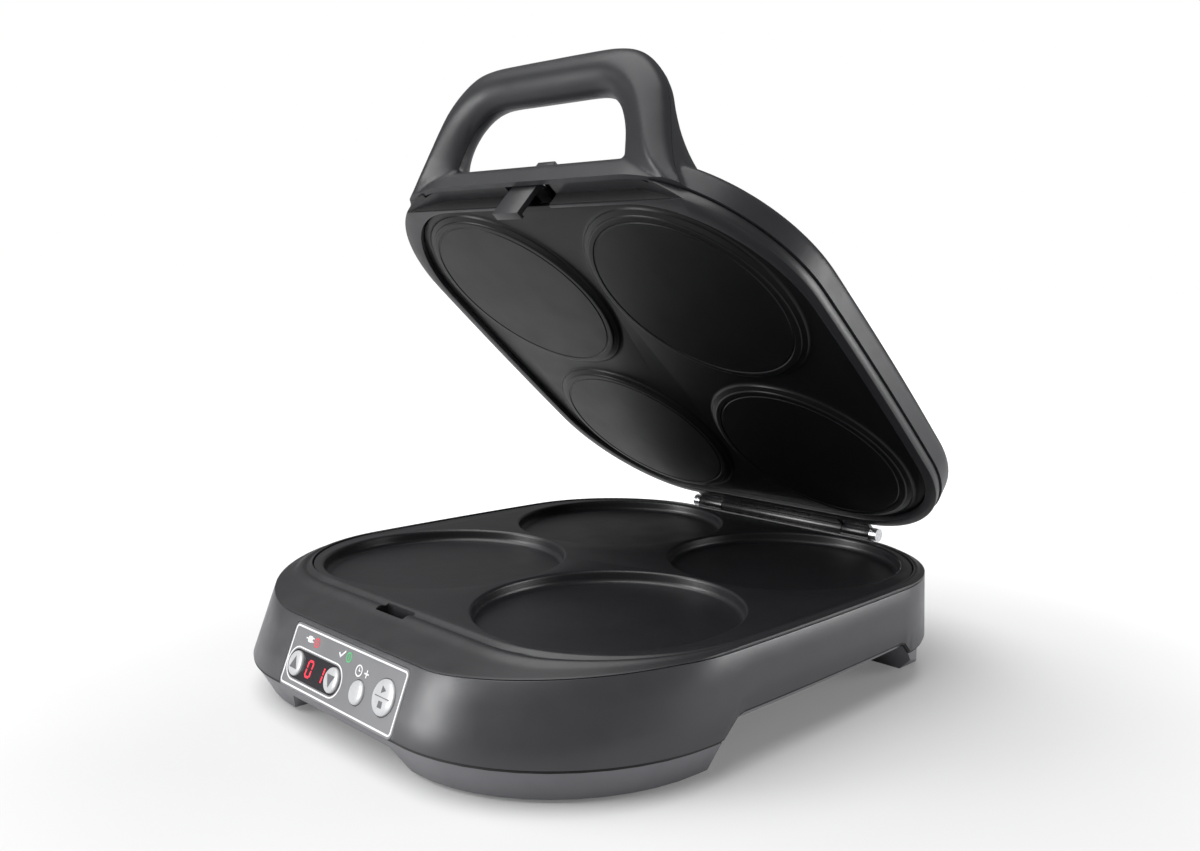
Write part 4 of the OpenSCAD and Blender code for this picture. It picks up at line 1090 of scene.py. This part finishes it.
ROW_Y = 15.8
UP_AT, DOWN_AT = (-33.2, ROW_Y), (-5.1, ROW_Y)
EXTRA_AT, START_AT = (13.4, ROW_Y), (30.9, 13.0)
BUTTONS = {
    "up_button": (UP_AT, 10.1),
    "down_button": (DOWN_AT, 10.1),
    "extra_time_button": (EXTRA_AT, 9.4),
    "start_button": (START_AT, 13.8),
}
LIGHTS = {"power_light": (-22.9, 5.1), "ready_light": (1.7, 5.0)}
WINDOW_W, WINDOW_H = 39.8, 11.6
WINDOW_AT = ((UP_AT[0] + DOWN_AT[0]) / 2, ROW_Y)
BUTTON_TOP = 1.1
INK = 0.06
PRINT_Z = 0.03
DIGIT_Z = -0.09
LEFT_DIGIT, RIGHT_DIGIT = (-22.9, ROW_Y), (-14.1, ROW_Y)


def band(outline_out, outline_in):
    """Printed ring between two outlines with equally many points."""
    low, high = PRINT_Z, PRINT_Z + INK
    sections = []
    for a, b in zip(outline_out, outline_in):
        sections.append(to_metres([(*a, low), (*a, high), (*b, high), (*b, low)]))
    return loop_solid(sections)


def stadium(w, h, steps=16):
    return rounded_outline(w, h, h / 2 - 0.001, steps)


def bar(a, b, width):
    """Outline of a straight stroke from a to b."""
    a, b = Vector(a), Vector(b)
    side = Vector((a.y - b.y, b.x - a.x)).normalized() * width / 2
    return [tuple(a + side), tuple(b + side), tuple(b - side), tuple(a - side)]


def raised(outline, low=PRINT_Z, high=PRINT_Z + INK):
    return prism(outline, low, high)


def ink(name, shapes, material, body="base"):
    """Printed marks joined into one piece."""
    add_piece(name, on_panel(joined(*shapes)), "button_silver", body, material=material)


def panel_outline(inset):
    """The fascia's outline moved inward."""
    outline = rounded_outline(PANEL_W - 2 * inset, PANEL_H - 2 * inset, PANEL_R - inset)
    return moved(outline, PANEL_MIDDLE)


def window_outline(grow=0.0):
    return moved(stadium(WINDOW_W + grow, WINDOW_H + grow), WINDOW_AT)


def make_fascia():
    """Fascia plate with softened edges, holes for the round buttons and the window's opening."""
    insets = [(0.25, -0.9), (0.0, -0.75), (0.0, -0.12), (0.05, -0.03), (0.15, PRINT_Z)]
    plate = stack_solid([ring_at(panel_outline(inset), z) for inset, z in insets])
    for at, d in BUTTONS.values():
        plate = boolean(plate, prism(circle(d + 0.6, at), -3, 3))
    plate = boolean(plate, prism(window_outline(), -3, 3))
    add_piece("control_fascia_plate", on_panel(plate), "fascia", "base", ["control_fascia"])


def plug_sign(at):
    x, y = at
    return [
        raised(moved(rounded_outline(3.2, 2.6, 0.8), at)),
        raised(bar((x + 1.6, y - 0.7), (x + 2.8, y - 0.7), 0.45)),
        raised(bar((x + 1.6, y + 0.7), (x + 2.8, y + 0.7), 0.45)),
        raised(bar((x - 1.6, y), (x - 3.2, y), 0.5)),
    ]


def tick_sign(at):
    x, y = at
    return [
        raised(bar((x - 1.5, y - 1.5), at, 0.65)),
        raised(bar((x - 0.35, y), (x + 2.6, y - 2.9), 0.65)),
    ]


def clock_sign(at):
    x, y = at
    return [
        band(circle(4.6, at), circle(3.6, at)),
        raised(bar((x, y + 0.15), (x, y - 1.3), 0.4)),
        raised(bar((x - 0.15, y), (x + 1.0, y), 0.4)),
    ]


def plus_sign(at):
    x, y = at
    return [
        raised(bar((x - 1.5, y), (x + 1.5, y), 0.55)),
        raised(bar((x, y - 1.5), (x, y + 1.5), 0.55)),
    ]


def make_print():
    """White lines round the fascia and the window, and the signs beside the lights and buttons."""
    frame_line = band(
        moved(rounded_outline(PANEL_W - 1.8, PANEL_H - 1.8, 1.8), PANEL_MIDDLE),
        moved(rounded_outline(PANEL_W - 3.2, PANEL_H - 3.2, 1.1), PANEL_MIDDLE),
    )
    window_line = band(window_outline(2.2), window_outline(1.1))
    signs = plug_sign((-28.4, 4.8)) + tick_sign((-4.1, 6.2))
    signs += clock_sign((10.6, 8.0)) + plus_sign((16.1, 8.0))
    ink("panel_print", [frame_line, window_line, *signs], PRINT_WHITE)
    for name, at in LIGHTS.items():
        rings = [
            band(circle(3.9, at), circle(2.9, at)),
            raised(bar((at[0], at[1] - 0.9), (at[0], at[1] + 0.9), 0.6)),
        ]
        add_piece(name + "_ring", on_panel(joined(*rings)), SLOT_OF[name], "base", [name])


def make_buttons():
    """Domed round caps with a hidden flange, and the signs printed on three of them."""
    for name, (at, d) in BUTTONS.items():
        r = d / 2
        profile = [(r + 1.2, -3.9), (r + 1.2, -2.9), (r, -2.9), (r, BUTTON_TOP - 1.0)]
        profile += arc((r - 0.7, BUTTON_TOP - 1.0), 0.7, 12, 72)
        profile += [(r * 0.7, BUTTON_TOP - 0.14), (r * 0.45, BUTTON_TOP - 0.05), (r * 0.2, BUTTON_TOP)]
        add_piece(name + "_cap", on_panel(lathe(profile, at)), "button_silver", name, [name])
    top, deep = BUTTON_TOP - 0.3, BUTTON_TOP + 0.03
    for name, at, tip in (("up_button", UP_AT, -1), ("down_button", DOWN_AT, 1)):
        arrow = moved([(-2.7, -tip * 2.0), (2.7, -tip * 2.0), (0, tip * 2.9)], at)
        ink(name + "_arrow", [raised(arrow, top, deep)], PRINT_GREY, name)
    x, y = START_AT
    signs = [
        raised([(x - 1.3, y - 4.1), (x - 1.3, y - 1.3), (x + 1.5, y - 2.7)], top, deep),
        raised(bar((x - 4.6, y), (x + 4.6, y), 0.35), top, deep),
        raised(moved(rounded_outline(2.5, 2.5, 0.2), (x, y + 2.7)), top, deep),
    ]
    ink("start_button_signs", signs, PRINT_GREY, "start_button")


def digit_strokes(at, bars):
    """Slanted seven-segment figure; bars are (x0, y0, x1, y1) in half widths and half heights."""
    half_w, half_h, slant, width = 1.7, 3.2, -0.12, 0.85
    strokes = []
    for x0, y0, x1, y1 in bars:
        a, b = [Vector((x * half_w + slant * y * half_h, y * half_h)) for x, y in ((x0, y0), (x1, y1))]
        short = (b - a).normalized() * 0.3
        a, b = a + short + Vector(at), b - short + Vector(at)
        strokes.append(raised(bar(a, b, width), DIGIT_Z, DIGIT_Z + INK))
    return strokes


def make_digits():
    """The figures 0 and 1."""
    right = [(1, -1, 1, 0), (1, 0, 1, 1)]
    left = [(-1, -1, -1, 0), (-1, 0, -1, 1)]
    ends = [(-1, -1, 1, -1), (-1, 1, 1, 1)]
    strokes = digit_strokes(LEFT_DIGIT, right + left + ends) + digit_strokes(RIGHT_DIGIT, right)
    add_piece("display_digits_lit", on_panel(joined(*strokes)), "digit_red", "base", ["display_digits"])


make_fascia()
make_print()
make_digits()
make_buttons()

# ---------------------------------------------------------------- hinge strips

HINGE_Y, HINGE_Z = HINGE.y / MM, HINGE.z / MM
BARREL_R = 3.1
MIDDLE_HALF, HINGE_HALF = 43.0, 61.0
LEAF_T = 1.4
LID_REAR = LID_Y[1] + 0.1
BASE_REAR = 132.6


def hinge_arc(r, start, end, steps=8):
    """Points (y, z) of an arc round the hinge axis, angles in degrees from +Y."""
    return arc((HINGE_Y, HINGE_Z), r, start, end, steps)


def strip(profile, x0, x1):
    """Solid over a (y, z) profile between two x."""
    return stack_solid([[Vector((x, y, z)) * MM for y, z in profile] for x in (x0, x1)])


def make_hinge_strips():
    """Steel strips that close the gap above the middle barrel and below the outer ones."""
    r = BARREL_R + 0.5
    around = r + 1.2
    blade = [(LID_REAR, HINGE_Z + 0.5), (LID_REAR, 62.0), (LID_REAR + LEAF_T, 62.0)]
    blade += hinge_arc(around, 118, 80) + hinge_arc(r, 80, 172, 14)
    half = MIDDLE_HALF - 0.3
    add_piece("hinge_lid_strip", strip(blade, -half, half), "hinge_black", "lid", turn=LID_TURN)
    saddle = [(BASE_REAR, 44.0), (BASE_REAR + LEAF_T, 44.0)]
    saddle += hinge_arc(around, 245, 300) + hinge_arc(r, 300, 205)
    for side in (-1, 1):
        ends = sorted((side * (MIDDLE_HALF + 0.2), side * HINGE_HALF))
        name = "hinge_saddle_right" if side > 0 else "hinge_saddle_left"
        add_piece(name, strip(saddle, *ends), "hinge_black", "base")


make_hinge_strips()
